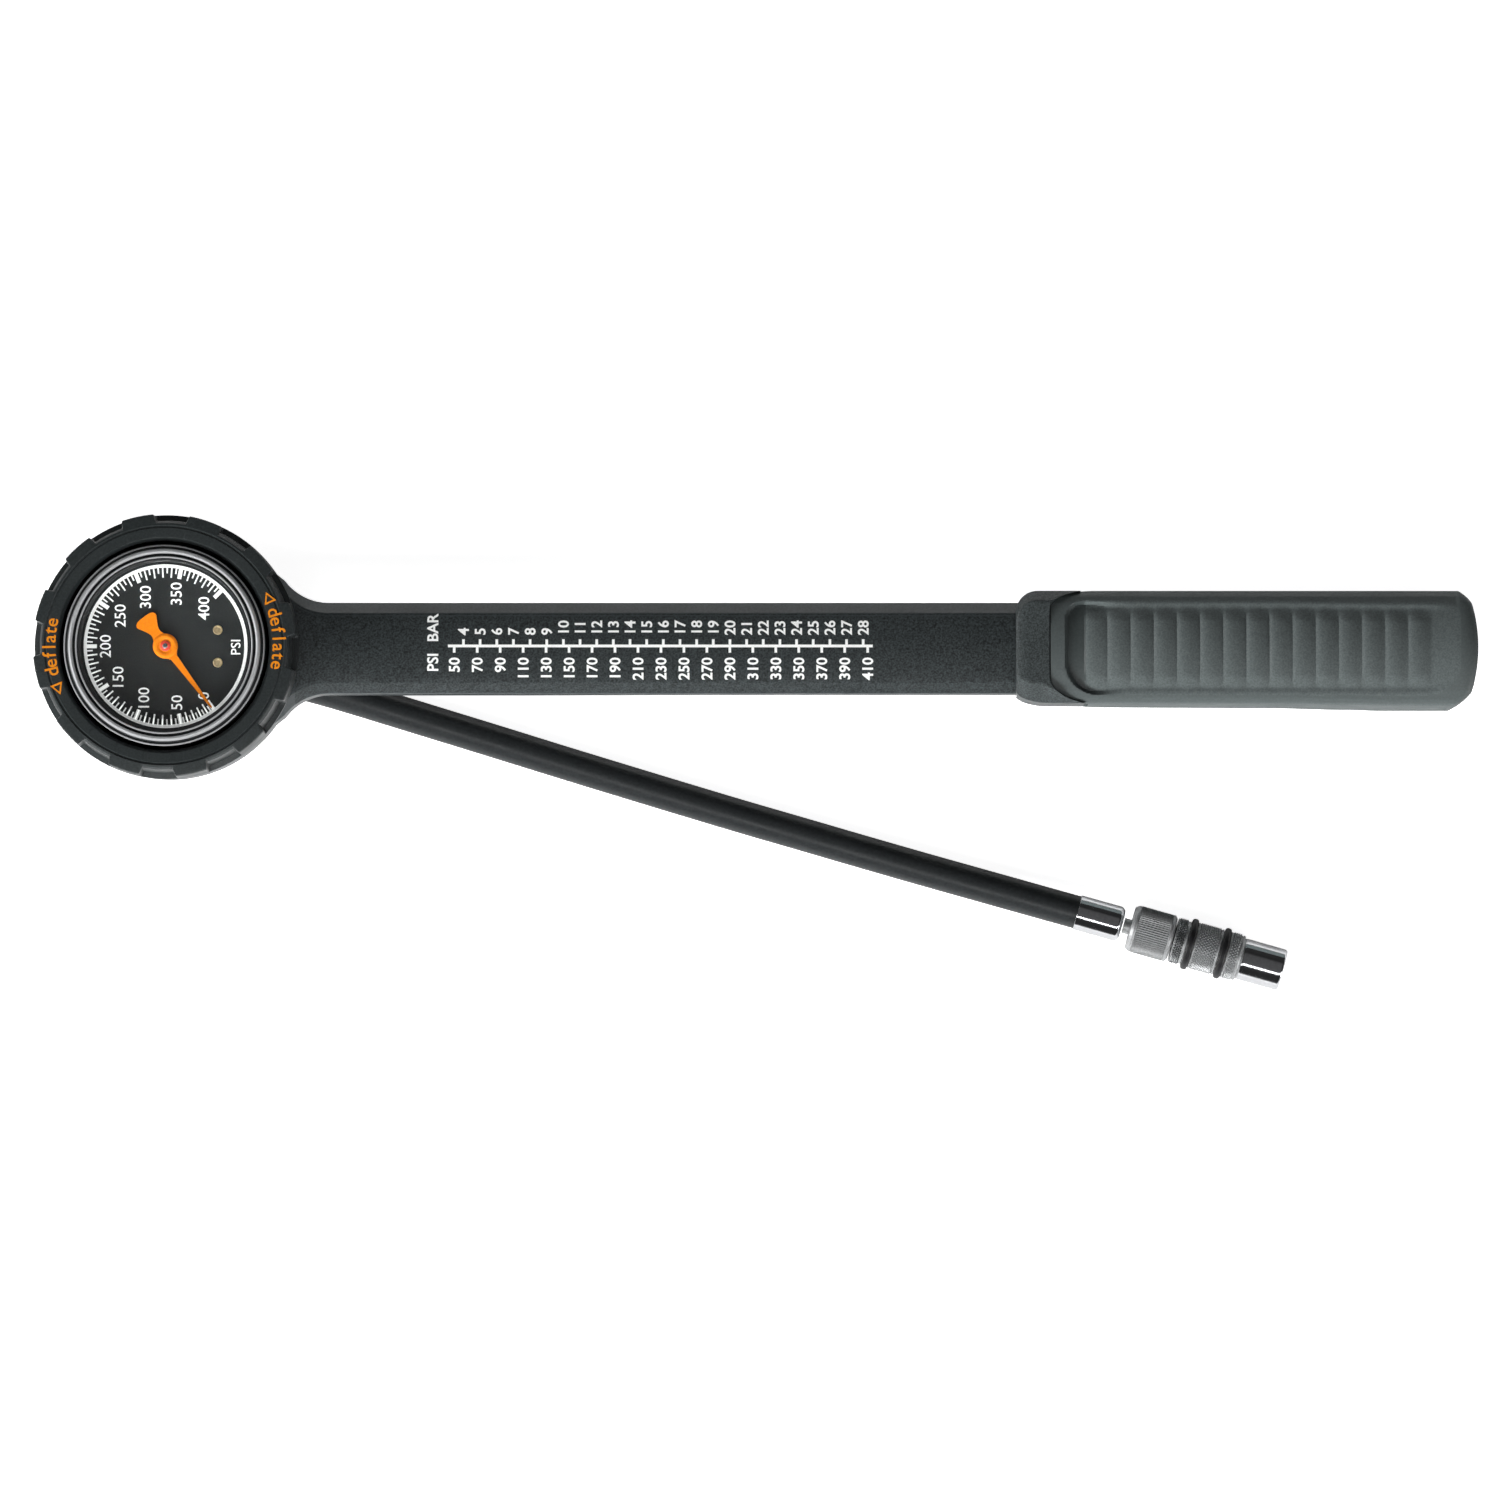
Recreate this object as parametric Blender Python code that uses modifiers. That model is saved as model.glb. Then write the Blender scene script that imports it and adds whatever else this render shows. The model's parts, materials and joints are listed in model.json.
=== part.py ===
"""Shock suspension pump with a gauge head, a deflate ring, a sleeve handle and a swivelling hose.

Units are metres, +Z is up. The pump lies on its back: the origin is on the gauge axis at the
foot of the hose swivel, +X runs along the barrel to the handle and +Z leaves the dial.
"""
import bpy
import bmesh
from math import cos, sin, pi, radians, sqrt
from mathutils import Matrix, Vector

MM = 0.001
GAP = 0.3 * MM                      # clearance between two pieces that touch

# Barrel and cylinder
BARREL_HALF = 10.8 * MM             # half of the barrel's width
BARREL_LOW = 9.5 * MM
BARREL_HIGH = 27.0 * MM
NECK_HIGH = 28.5 * MM               # the neck rises to this where it meets the head
BARREL_END = 288.0 * MM
AXIS_Z = 19.0 * MM                  # height of the cylinder's axis
TUBE_OUTER = 6.5 * MM
TUBE_INNER = 5.5 * MM
TUBE_START = 33.5 * MM
TUBE_END = 284.5 * MM

# Head
HOUSING_RADIUS = 30.8 * MM
CUP_RADIUS = 24.3 * MM              # inside of the head cup
CUP_FLOOR = 12.3 * MM
HEAD_LOW = 9.3 * MM
RING_RADIUS = 31.2 * MM
RING_INNER = 24.6 * MM
RING_LOW = 29.0 * MM
RING_HIGH = 40.0 * MM
RECESS_RADIUS = 29.7 * MM
RECESSES = 12
RECESS_TURN = radians(27)           # centre of the first recess
CASE_RADIUS = 23.9 * MM
CASE_LOW = 18.4 * MM
DIAL_Z = 33.0 * MM
LENS_TOP = 41.0 * MM

# Gauge movement
GEAR_CENTRES = 13.2 * MM            # arbor to sector pivot
PINION_TEETH = 10
SECTOR_TEETH = 100                  # teeth of the whole circle the sector is cut from
SECTOR_CUT = 17                     # teeth on the sector
GEAR_Z = 25.5 * MM
TAIL_ARM = 5.2 * MM

# Deflate ring cam and bleed valve
CAM_RADIUS = 27.0 * MM
CAM_TURN = radians(200)             # angle of the bleed valve
CAM_TRAVEL = radians(50)            # how far the ring turns
CAM_DROP = 1.6 * MM                 # how far it presses the valve

# Handle
HANDLE_START = 200.5 * MM
GRIP_START = 208.6 * MM
HANDLE_END = 309.5 * MM
HANDLE_TOP = 33.0 * MM
SOCKET_END = 291.0 * MM
ROD_RADIUS = 4.0 * MM

# Hose and connector
HOSE_RADIUS = 3.95 * MM
OUTLET_TURN = radians(-13.5)        # direction of the swivel's outlet
OUTLET_Z = 4.7 * MM
TURRET_RADIUS = 11.0 * MM
FERRULE_START = 11.0 * MM
FERRULE_END = 21.0 * MM
CONNECTOR_TURN = radians(-15.8)
CONNECTOR_START = Vector((216.9, -62.5, 6.35)) * MM

STEPS_LARGE = 36
STEPS_SMALL = 24

COLOURS = {                         # name: (colour, roughness, metallic)
    "body_plastic": ((0.045, 0.050, 0.050), 0.55, 0.0),
    "ring_plastic": ((0.035, 0.038, 0.038), 0.45, 0.0),
    "grip_rubber": ((0.085, 0.095, 0.097), 0.75, 0.0),
    "collar_plastic": ((0.050, 0.055, 0.055), 0.60, 0.0),
    "dial_black": ((0.012, 0.013, 0.014), 0.50, 0.0),
    "pointer_orange": ((0.85, 0.27, 0.02), 0.45, 0.0),
    "lens_clear": ((0.90, 0.93, 0.95), 0.05, 0.0),
    "bright_chrome": ((0.75, 0.76, 0.78), 0.12, 1.0),
    "knurled_steel": ((0.50, 0.51, 0.53), 0.30, 1.0),
    "hose_rubber": ((0.018, 0.020, 0.021), 0.50, 0.0),
    "seal_rubber": ((0.010, 0.010, 0.011), 0.60, 0.0),
    "brass": ((0.70, 0.52, 0.24), 0.30, 1.0),
    "aluminium": ((0.68, 0.69, 0.71), 0.30, 1.0),
    "spring_steel": ((0.45, 0.46, 0.48), 0.30, 1.0),
}


# ---------------------------------------------------------------- scene and materials

for old in list(bpy.data.objects):
    bpy.data.objects.remove(old, do_unlink=True)

parts = bpy.data.collections.new("shock_pump")
cutters = bpy.data.collections.new("cutters")
bpy.context.scene.collection.children.link(parts)
bpy.context.scene.collection.children.link(cutters)


def make_material(name, colour, roughness, metallic):
    material = bpy.data.materials.new(name)
    material.use_nodes = True
    shader = material.node_tree.nodes["Principled BSDF"]
    shader.inputs["Base Color"].default_value = (*colour, 1.0)
    shader.inputs["Roughness"].default_value = roughness
    shader.inputs["Metallic"].default_value = metallic
    material.diffuse_color = (*colour, 1.0)
    return material


MATERIALS = {name: make_material(name, *values) for name, values in COLOURS.items()}


# ---------------------------------------------------------------- modelling helpers

def add_object(name, data, material):
    """A part with its material, or a cutter when the material is None."""
    obj = bpy.data.objects.new(name, data)
    if material is None:
        cutters.objects.link(obj)
        obj.hide_render = True
        obj.display_type = "WIRE"
    else:
        parts.objects.link(obj)
        data.materials.append(MATERIALS[material])
    return obj


def smooth(obj, angle=35):
    obj.data.shade_smooth()
    obj.data.set_sharp_from_angle(angle=radians(angle))
    return obj


def turned(name, profile, material, steps=STEPS_SMALL, closed=False):
    """Revolve a profile of (radius, height) points, top to bottom down the outer side, about Z."""
    mesh = bpy.data.meshes.new(name)
    edges = [(i, i + 1) for i in range(len(profile) - 1)]
    if closed:
        edges.append((len(profile) - 1, 0))
    mesh.from_pydata([(r, 0, z) for r, z in profile], edges, [])
    obj = add_object(name, mesh, material)
    screw = obj.modifiers.new("turn", "SCREW")
    screw.axis = "Z"
    screw.steps = steps
    screw.render_steps = steps
    screw.use_smooth_shade = False
    screw.use_merge_vertices = True
    screw.merge_threshold = 0.00001
    return obj


def tube_profile(inner, outer, low, high, edge=0.0):
    """The closed profile of a ring or tube, with chamfered outer edges."""
    if edge == 0.0:
        return [(outer, high), (outer, low), (inner, low), (inner, high)]
    return [(outer - edge, high), (outer, high - edge), (outer, low + edge),
            (outer - edge, low), (inner, low), (inner, high)]


def rod_profile(radius, low, high, edge=0.0):
    if edge == 0.0:
        return [(0, high), (radius, high), (radius, low), (0, low)]
    return [(0, high), (radius - edge, high), (radius, high - edge),
            (radius, low + edge), (radius - edge, low), (0, low)]


def o_ring_profile(radius, thickness, height, points=8):
    """A round section of the given thickness, centred at the radius and height."""
    turns = [-2 * pi * (i + 0.5) / points for i in range(points)]
    half = thickness / 2
    return [(radius + half * cos(t), height + half * sin(t)) for t in turns]


def box(name, low, high, material, bevel=0.0, segments=2):
    mesh = bpy.data.meshes.new(name)
    cage = bmesh.new()
    size = [b - a for a, b in zip(low, high)]
    middle = [(a + b) / 2 for a, b in zip(low, high)]
    place = Matrix.Translation(middle) @ Matrix.Diagonal((*size, 1.0))
    bmesh.ops.create_cube(cage, size=1.0, matrix=place)
    cage.to_mesh(mesh)
    cage.free()
    obj = add_object(name, mesh, material)
    if bevel > 0:
        add_bevel(obj, bevel, segments)
    return obj


def add_bevel(obj, width, segments=1, angle=40):
    bevel = obj.modifiers.new("edges", "BEVEL")
    bevel.width = width
    bevel.segments = segments
    bevel.limit_method = "ANGLE"
    bevel.angle_limit = radians(angle)


def boolean(target, other, operation):
    step = target.modifiers.new(operation.lower(), "BOOLEAN")
    step.operation = operation
    step.solver = "EXACT"
    step.object = other


def cut(target, *others):
    for other in others:
        boolean(target, other, "DIFFERENCE")


def join(target, *others):
    for other in others:
        boolean(target, other, "UNION")


def flat_shape(name, outlines, low, high, material):
    """Extrude closed outlines of (x, y) points from the low height to the high one."""
    curve = bpy.data.curves.new(name, "CURVE")
    curve.dimensions = "2D"
    curve.fill_mode = "BOTH"
    curve.extrude = (high - low) / 2
    for outline in outlines:
        spline = curve.splines.new("POLY")
        spline.points.add(len(outline) - 1)
        for point, (x, y) in zip(spline.points, outline):
            point.co = (x, y, 0, 1)
        spline.use_cyclic_u = True
    guide = bpy.data.objects.new(name + "_curve", curve)
    cutters.objects.link(guide)
    guide.location.z = (low + high) / 2
    return curve_to_part(name, guide, material)


def wire(name, points, radius, material, resolution=1):
    """A round wire or tube along the points, with welded caps."""
    curve = bpy.data.curves.new(name, "CURVE")
    curve.dimensions = "3D"
    curve.bevel_depth = radius
    curve.bevel_resolution = resolution
    curve.use_fill_caps = True
    spline = curve.splines.new("POLY")
    spline.points.add(len(points) - 1)
    for point, place in zip(spline.points, points):
        point.co = (*place, 1)
    guide = bpy.data.objects.new(name + "_curve", curve)
    cutters.objects.link(guide)
    return curve_to_part(name, guide, material)


def curve_to_part(name, guide, material):
    bpy.context.view_layer.update()
    mesh = bpy.data.meshes.new_from_object(guide.evaluated_get(bpy.context.evaluated_depsgraph_get()))
    mesh.name = name
    weld = bmesh.new()
    weld.from_mesh(mesh)
    bmesh.ops.remove_doubles(weld, verts=weld.verts, dist=0.000005)
    weld.to_mesh(mesh)
    weld.free()
    mesh.materials.clear()
    obj = add_object(name, mesh, material)
    obj.matrix_world = guide.matrix_world.copy()
    bpy.data.objects.remove(guide, do_unlink=True)
    return obj


def rounded_section(half, low, high, top_radius, low_radius, segments=3):
    """A rounded box section as (y, z) points, counter-clockwise seen from +X."""
    corners = ((half - low_radius, low + low_radius, low_radius, -90),
               (half - top_radius, high - top_radius, top_radius, 0),
               (top_radius - half, high - top_radius, top_radius, 90),
               (low_radius - half, low + low_radius, low_radius, 180))
    points = []
    for y, z, radius, start in corners:
        for i in range(segments + 1):
            turn = radians(start + 90 * i / segments)
            points.append((y + radius * cos(turn), z + radius * sin(turn)))
    return points


def lofted(name, stations, material):
    """Join equal-length sections, each (x, section points), into one closed bar along X."""
    mesh = bpy.data.meshes.new(name)
    bar = bmesh.new()
    loops = [[bar.verts.new((x, y, z)) for y, z in section] for x, section in stations]
    count = len(loops[0])
    for first, second in zip(loops, loops[1:]):
        for i in range(count):
            j = (i + 1) % count
            bar.faces.new((first[i], first[j], second[j], second[i]))
    bar.faces.new(list(reversed(loops[0])))
    bar.faces.new(loops[-1])
    bmesh.ops.recalc_face_normals(bar, faces=bar.faces)
    bar.to_mesh(mesh)
    bar.free()
    return add_object(name, mesh, material)


def along_x(obj, x=0.0, y=0.0, z=AXIS_Z):
    """Turn a part that was made about Z so that its axis runs along +X."""
    obj.rotation_euler = (0, pi / 2, 0)
    obj.location = (x, y, z)
    return obj


def arc(radius, start, end, count):
    step = (end - start) / count
    return [(radius * cos(start + i * step), radius * sin(start + i * step))
            for i in range(count + 1)]


def circle(radius, count, x=0.0, y=0.0):
    return [(x + radius * cos(2 * pi * i / count), y + radius * sin(2 * pi * i / count))
            for i in range(count)]


def helix(radius, low, high, turns, per_turn=9):
    count = int(turns * per_turn)
    return [(radius * cos(2 * pi * i / per_turn), radius * sin(2 * pi * i / per_turn),
             low + (high - low) * i / count) for i in range(count + 1)]


# ---------------------------------------------------------------- pump housing

def neck_half(x):
    """Half width of the neck, which flares from the barrel into the head."""
    radius = 13.0 * MM
    centre_x = 38.0 * MM
    centre_y = BARREL_HALF + radius
    return centre_y - sqrt(radius ** 2 - min(radius, centre_x - x) ** 2)


def barrel_section(half=BARREL_HALF, high=BARREL_HIGH):
    return rounded_section(half, BARREL_LOW, high, 2.7 * MM, 4.5 * MM)


def make_housing():
    cup_top = RING_LOW - GAP
    cup = [(0, cup_top), (HOUSING_RADIUS, cup_top), (HOUSING_RADIUS, 11.3 * MM),
           (HOUSING_RADIUS - 2 * MM, HEAD_LOW), (0, HEAD_LOW)]
    housing = turned("pump_housing", cup, "body_plastic", STEPS_LARGE)

    neck = [(20.0 * MM, barrel_section(22.0 * MM, NECK_HIGH)),
            (23.0 * MM, barrel_section(20.4 * MM, NECK_HIGH)),
            (25.5 * MM, barrel_section(18.2 * MM, NECK_HIGH))]
    for x, fall in ((27.6, 0.0), (29.0, 0.05), (30.8, 0.2), (33.0, 0.5), (35.4, 0.85), (38.0, 1.0)):
        high = NECK_HIGH + (BARREL_HIGH - NECK_HIGH) * fall
        neck.append((x * MM, barrel_section(neck_half(x * MM), high)))
    neck.append((BARREL_END, barrel_section()))
    barrel = lofted("barrel_shape", neck, None)

    cavity = turned("cup_cavity", rod_profile(CUP_RADIUS, CUP_FLOOR, 45 * MM), None, STEPS_LARGE)
    bore = along_x(turned("barrel_bore", rod_profile(6.8 * MM, 30.0 * MM, 320 * MM), None, 32))
    swivel_hole = turned("swivel_hole", rod_profile(4.9 * MM, 5 * MM, 20 * MM), None, 25)
    port = along_x(turned("air_port", rod_profile(1.5 * MM, 20 * MM, 32 * MM), None), z=15.2 * MM)
    join(housing, barrel)
    cut(housing, cavity, bore, swivel_hole, port)

    pocket = turned("bleed_pocket", [(0, 45 * MM), (2.4 * MM, 45 * MM), (2.4 * MM, 17.4 * MM),
                                     (1.8 * MM, 17.4 * MM), (1.8 * MM, 13.5 * MM),
                                     (0, 13.5 * MM)], None)
    bleed_place(pocket)
    start = CAM_TURN - CAM_TRAVEL - radians(11)
    end = CAM_TURN + CAM_TRAVEL + radians(9)
    groove = (arc(28.3 * MM, start, end, 18)
              + list(reversed(arc(25.7 * MM, start, end, 18))))
    groove_cut = flat_shape("cam_groove", [groove], 25.5 * MM, 45 * MM, None)
    bleed_port = along_x(turned("bleed_port", rod_profile(0.8 * MM, 20 * MM, 27 * MM), None, 12),
                         z=15.2 * MM)
    bleed_port.rotation_euler = (0, pi / 2, CAM_TURN)
    cut(housing, pocket, groove_cut, bleed_port)

    for index in range(3):
        turn = radians(60 + 120 * index)
        hole = turned(f"screw_hole_{index + 1}",
                      [(0, 20 * MM), (1.6 * MM, 20 * MM), (1.6 * MM, 11.0 * MM),
                       (2.7 * MM, 11.0 * MM), (2.7 * MM, 5 * MM), (0, 5 * MM)], None, 20)
        hole.location = (19.0 * MM * cos(turn), 19.0 * MM * sin(turn), 0)
        cut(housing, hole)
    return housing


def make_cylinder():
    tube = turned("cylinder_tube", tube_profile(TUBE_INNER, TUBE_OUTER, TUBE_START, TUBE_END),
                  "aluminium", 32, closed=True)
    along_x(tube)
    head = turned("cylinder_head",
                  [(0, 33.2 * MM), (6.4 * MM, 33.2 * MM), (6.4 * MM, 30.4 * MM), (0, 30.4 * MM)],
                  "aluminium", 32)
    along_x(head)
    hole = along_x(turned("head_port", rod_profile(1.3 * MM, 29 * MM, 36 * MM), None, 16),
                   z=15.2 * MM)
    cut(head, hole)
    guide = turned("rod_guide", tube_profile(ROD_RADIUS + 0.15 * MM, 6.4 * MM, 284.9 * MM,
                                             287.6 * MM), "brass", 32, closed=True)
    along_x(guide)
    seal = turned("rod_seal", tube_profile(ROD_RADIUS + 0.1 * MM, 5.2 * MM, 282.0 * MM,
                                           284.0 * MM), "seal_rubber", 32, closed=True)
    along_x(seal)


# ---------------------------------------------------------------- manifold and valves

def make_manifold():
    plate = turned("manifold", rod_profile(14.0 * MM, 12.6 * MM, 18.1 * MM, 0.5 * MM),
                   "aluminium", 32)
    arm = box("manifold_arm", (8 * MM, -4.0 * MM, 12.8 * MM), (23.8 * MM, 4.0 * MM, 17.9 * MM),
              None)
    bleed_arm = box("manifold_bleed_arm", (8.5 * MM, -3.2 * MM, 12.9 * MM),
                    (23.6 * MM, 3.2 * MM, 17.8 * MM), None)
    bleed_arm.rotation_euler = (0, 0, CAM_TURN)
    join(plate, arm, bleed_arm)
    centre = turned("manifold_bore", rod_profile(4.9 * MM, 10 * MM, 17.0 * MM), None, 25)
    rise = turned("manifold_rise", rod_profile(1.2 * MM, 16 * MM, 20 * MM), None, 13)
    socket = turned("manifold_socket", rod_profile(2.4 * MM, 14.0 * MM, 20 * MM), None, 20)
    socket.location.y = -10.0 * MM
    drilling = along_x(turned("manifold_drilling", [(0, 26 * MM), (2.3 * MM, 26 * MM),
                                                    (2.3 * MM, 21.2 * MM), (1.7 * MM, 21.2 * MM),
                                                    (1.7 * MM, 12.0 * MM), (0.9 * MM, 12.0 * MM),
                                                    (0.9 * MM, 3.0 * MM), (0, 3.0 * MM)],
                              None, 20), z=15.2 * MM)
    side = along_x(turned("manifold_side", rod_profile(0.9 * MM, 3 * MM, 26 * MM), None, 12),
                   z=15.2 * MM)
    side.rotation_euler = (0, pi / 2, CAM_TURN)
    cross = along_x(turned("manifold_cross", rod_profile(0.9 * MM, 3 * MM, 11 * MM), None, 12),
                    z=15.2 * MM)
    cross.rotation_euler = (0, pi / 2, -pi / 2)
    clip_space = turned("clip_space", rod_profile(6.6 * MM, 10 * MM, 13.7 * MM), None, 23)
    cut(plate, centre, clip_space, rise, socket, drilling, side, cross)

    seat = turned("check_valve_seat", tube_profile(0.7 * MM, 2.0 * MM, 21.5 * MM, 23.7 * MM),
                  "brass", 20, closed=True)
    along_x(seat, z=15.2 * MM)
    ball_mesh = bpy.data.meshes.new("check_valve_ball")
    ball = bmesh.new()
    bmesh.ops.create_uvsphere(ball, u_segments=14, v_segments=8, radius=1.3 * MM)
    ball.to_mesh(ball_mesh)
    ball.free()
    ball_part = add_object("check_valve_ball", ball_mesh, "spring_steel")
    ball_part.location = (19.85 * MM, 0, 15.2 * MM)
    smooth(ball_part)
    coil = wire("check_valve_spring", helix(1.15 * MM, 0, 4.6 * MM, 4, 8), 0.18 * MM,
                "spring_steel")
    along_x(coil, x=13.2 * MM, z=15.2 * MM)


def bleed_place(obj):
    obj.location = (CAM_RADIUS * cos(CAM_TURN), CAM_RADIUS * sin(CAM_TURN), 0)
    return obj


def make_bleed_valve():
    stem = turned("bleed_plunger",
                  [(0, 28.1 * MM), (0.7 * MM, 28.0 * MM), (1.2 * MM, 27.4 * MM),
                   (1.2 * MM, 25.2 * MM), (2.0 * MM, 25.0 * MM), (2.0 * MM, 24.0 * MM),
                   (0.8 * MM, 23.8 * MM), (0.8 * MM, 17.5 * MM), (0, 17.5 * MM)],
                  "brass", 20)
    bleed_place(stem)
    seal = turned("bleed_seal", rod_profile(1.6 * MM, 15.6 * MM, 17.2 * MM), "seal_rubber", 20)
    bleed_place(seal)
    coil = wire("bleed_spring", helix(1.95 * MM, 17.8 * MM, 23.5 * MM, 5, 9), 0.2 * MM,
                "spring_steel")
    bleed_place(coil)


# ---------------------------------------------------------------- gauge

def make_gauge_case():
    case = turned("gauge_case",
                  [(0, 19.8 * MM), (22.6 * MM, 19.8 * MM), (22.6 * MM, 36.0 * MM),
                   (CASE_RADIUS, 36.0 * MM), (CASE_RADIUS, CASE_LOW + 0.8 * MM),
                   (CASE_RADIUS - 0.8 * MM, CASE_LOW), (0, CASE_LOW)], "ring_plastic",
                  STEPS_LARGE)
    hole = turned("case_hole", rod_profile(2.5 * MM, 10 * MM, 24 * MM), None, 20)
    hole.location.y = -10.0 * MM
    cut(case, hole)
    for index in range(3):
        turn = radians(60 + 120 * index)
        screw_hole = turned(f"case_screw_hole_{index + 1}",
                            rod_profile(1.6 * MM, 10 * MM, 24 * MM), None, 20)
        screw_hole.location = (19.0 * MM * cos(turn), 19.0 * MM * sin(turn), 0)
        cut(case, screw_hole)
        screw = turned(f"back_screw_{index + 1}",
                       [(0, 19.6 * MM), (1.25 * MM, 19.6 * MM), (1.25 * MM, 10.7 * MM),
                        (2.4 * MM, 10.7 * MM), (2.4 * MM, 9.6 * MM), (1.3 * MM, 9.6 * MM),
                        (1.1 * MM, 10.2 * MM), (0, 10.2 * MM)], "spring_steel", 20)
        screw.location = screw_hole.location


def make_gauge_socket():
    block = box("gauge_socket", (-4.0 * MM, -20.5 * MM, 20.1 * MM),
                (4.0 * MM, -7.0 * MM, 27.0 * MM), "brass", 0.4 * MM, 1)
    stem = turned("socket_stem", rod_profile(2.1 * MM, 14.4 * MM, 22 * MM), None, 20)
    stem.location.y = -10.0 * MM
    join(block, stem)
    slot = box("socket_slot", (-6.0 * MM, -18.6 * MM, 21.3 * MM), (1.0 * MM, -14.2 * MM, 30 * MM),
               None)
    drilling = turned("socket_drilling", rod_profile(0.7 * MM, 12 * MM, 24.0 * MM), None, 12)
    drilling.location.y = -10.0 * MM
    cut(block, slot, drilling)


def make_bourdon_tube():
    """A C-shaped tube from the socket round to the far end of the link, below the sector's swing."""
    radius = 16.8 * MM
    start = radians(-92)
    end = radians(-308)
    count = 26
    turns = [start + (end - start) * i / count for i in range(count + 1)]
    path = [(radius * cos(t), radius * sin(t), 0) for t in turns]
    tube = wire("bourdon_tube", path, 1.2 * MM, "brass", 2)
    tube.location.z = 23.4 * MM


def gear_outline(teeth_total, teeth_cut, pitch_radius, tooth, start, root_arc=None):
    """Trapezoid teeth round an arc; the arc is closed through the hub points when it is partial."""
    pitch = 2 * pi / teeth_total
    outline = []
    for i in range(teeth_cut):
        middle = start + i * pitch
        for turn, radius in ((-0.30, -0.55), (-0.10, 0.42), (0.10, 0.42), (0.30, -0.55)):
            angle = middle + turn * pitch
            outline.append(((pitch_radius + radius * tooth) * cos(angle),
                            (pitch_radius + radius * tooth) * sin(angle)))
    return outline + (root_arc or [])


def make_movement():
    module = 2 * GEAR_CENTRES / (PINION_TEETH + SECTOR_TEETH)
    pinion_radius = module * PINION_TEETH / 2
    sector_radius = module * SECTOR_TEETH / 2

    for name, low, high in (("movement_back_plate", 21.0, 21.8), ("movement_front_plate", 28.4, 29.2)):
        plate = box(name, (-5.0 * MM, -5.5 * MM, low * MM), (5.0 * MM, 15.6 * MM, high * MM),
                    "brass")
        arbor_hole = turned(name + "_hole", rod_profile(0.95 * MM, 15 * MM, 32 * MM), None, 16)
        pivot_hole = turned(name + "_pivot", rod_profile(0.95 * MM, 15 * MM, 32 * MM), None, 16)
        pivot_hole.location.y = GEAR_CENTRES
        cut(plate, arbor_hole, pivot_hole)
    for index, x in enumerate((-4.0, 4.0)):
        pillar = turned(f"movement_pillar_{index + 1}", rod_profile(0.9 * MM, 22.1 * MM, 28.1 * MM),
                        "brass", 16)
        pillar.location = (x * MM, -4.2 * MM, 0)

    arbor = turned("pointer_arbor", [(0, 36.0 * MM), (0.45 * MM, 36.0 * MM), (0.45 * MM, 33.9 * MM),
                                     (0.65 * MM, 33.7 * MM), (0.65 * MM, 20.3 * MM),
                                     (0, 20.3 * MM)], "spring_steel", 16)
    pinion = flat_shape("pinion_teeth", [gear_outline(PINION_TEETH, PINION_TEETH, pinion_radius,
                                                      module * 2, pi / 2)],
                        GEAR_Z - 0.8 * MM, GEAR_Z + 0.8 * MM, None)
    join(arbor, pinion)

    spread = (SECTOR_CUT - 1) / 2 * 2 * pi / SECTOR_TEETH
    lead = radians(11.5)            # most of the sector's teeth wait on the side it turns from
    start = -pi / 2 - spread - lead
    start = -pi / 2 + round((start + pi / 2) / (2 * pi / SECTOR_TEETH)) * 2 * pi / SECTOR_TEETH
    start -= pi / SECTOR_TEETH      # a gap of the sector faces a tooth of the pinion
    end = start + (SECTOR_CUT - 1) * 2 * pi / SECTOR_TEETH
    rim_inner = 9.4 * MM
    back = [(rim_inner * cos(end), rim_inner * sin(end)),
            (2.0 * MM * cos(end + 0.5), 2.0 * MM * sin(end + 0.5)),
            (TAIL_ARM, -1.2 * MM), (TAIL_ARM + 1.1 * MM, 0.0), (TAIL_ARM, 1.2 * MM),
            (2.0 * MM * cos(3 * pi / 4), 2.0 * MM * sin(3 * pi / 4)),
            (2.0 * MM * cos(start - 0.5), 2.0 * MM * sin(start - 0.5)),
            (rim_inner * cos(start), rim_inner * sin(start))]
    sector = flat_shape("sector_gear", [gear_outline(SECTOR_TEETH, SECTOR_CUT, sector_radius,
                                                     module * 2, start, back)],
                        GEAR_Z - 0.6 * MM, GEAR_Z + 0.6 * MM, "brass")
    sector.location.y = GEAR_CENTRES
    staff = turned("sector_staff", rod_profile(0.65 * MM, -5.1 * MM, 4.4 * MM), None, 16)
    staff.location = (0, GEAR_CENTRES, GEAR_Z)
    tail_hole = turned("tail_hole", rod_profile(0.55 * MM, 20 * MM, 30 * MM), None, 12)
    tail_hole.location = (TAIL_ARM, GEAR_CENTRES, 0)
    join(sector, staff)
    cut(sector, tail_hole)

    link = box("movement_link", (TAIL_ARM - 0.7 * MM, GEAR_CENTRES - 0.7 * MM, 26.4 * MM),
               (10.9 * MM, GEAR_CENTRES + 0.7 * MM, 27.0 * MM), "spring_steel")
    pin = turned("link_pin", rod_profile(0.4 * MM, 24.9 * MM, 26.7 * MM), None, 12)
    pin.location = (TAIL_ARM, GEAR_CENTRES, 0)
    join(link, pin)

    turns = 2.5
    per_turn = 14
    count = int(turns * per_turn)
    spiral = [((1.3 + 1.6 * i / count) * MM * cos(2 * pi * i / per_turn),
               (1.3 + 1.6 * i / count) * MM * sin(2 * pi * i / per_turn), 0)
              for i in range(count + 1)]
    hairspring = wire("hairspring", spiral, 0.12 * MM, "spring_steel")
    hairspring.location.z = 27.4 * MM


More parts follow.
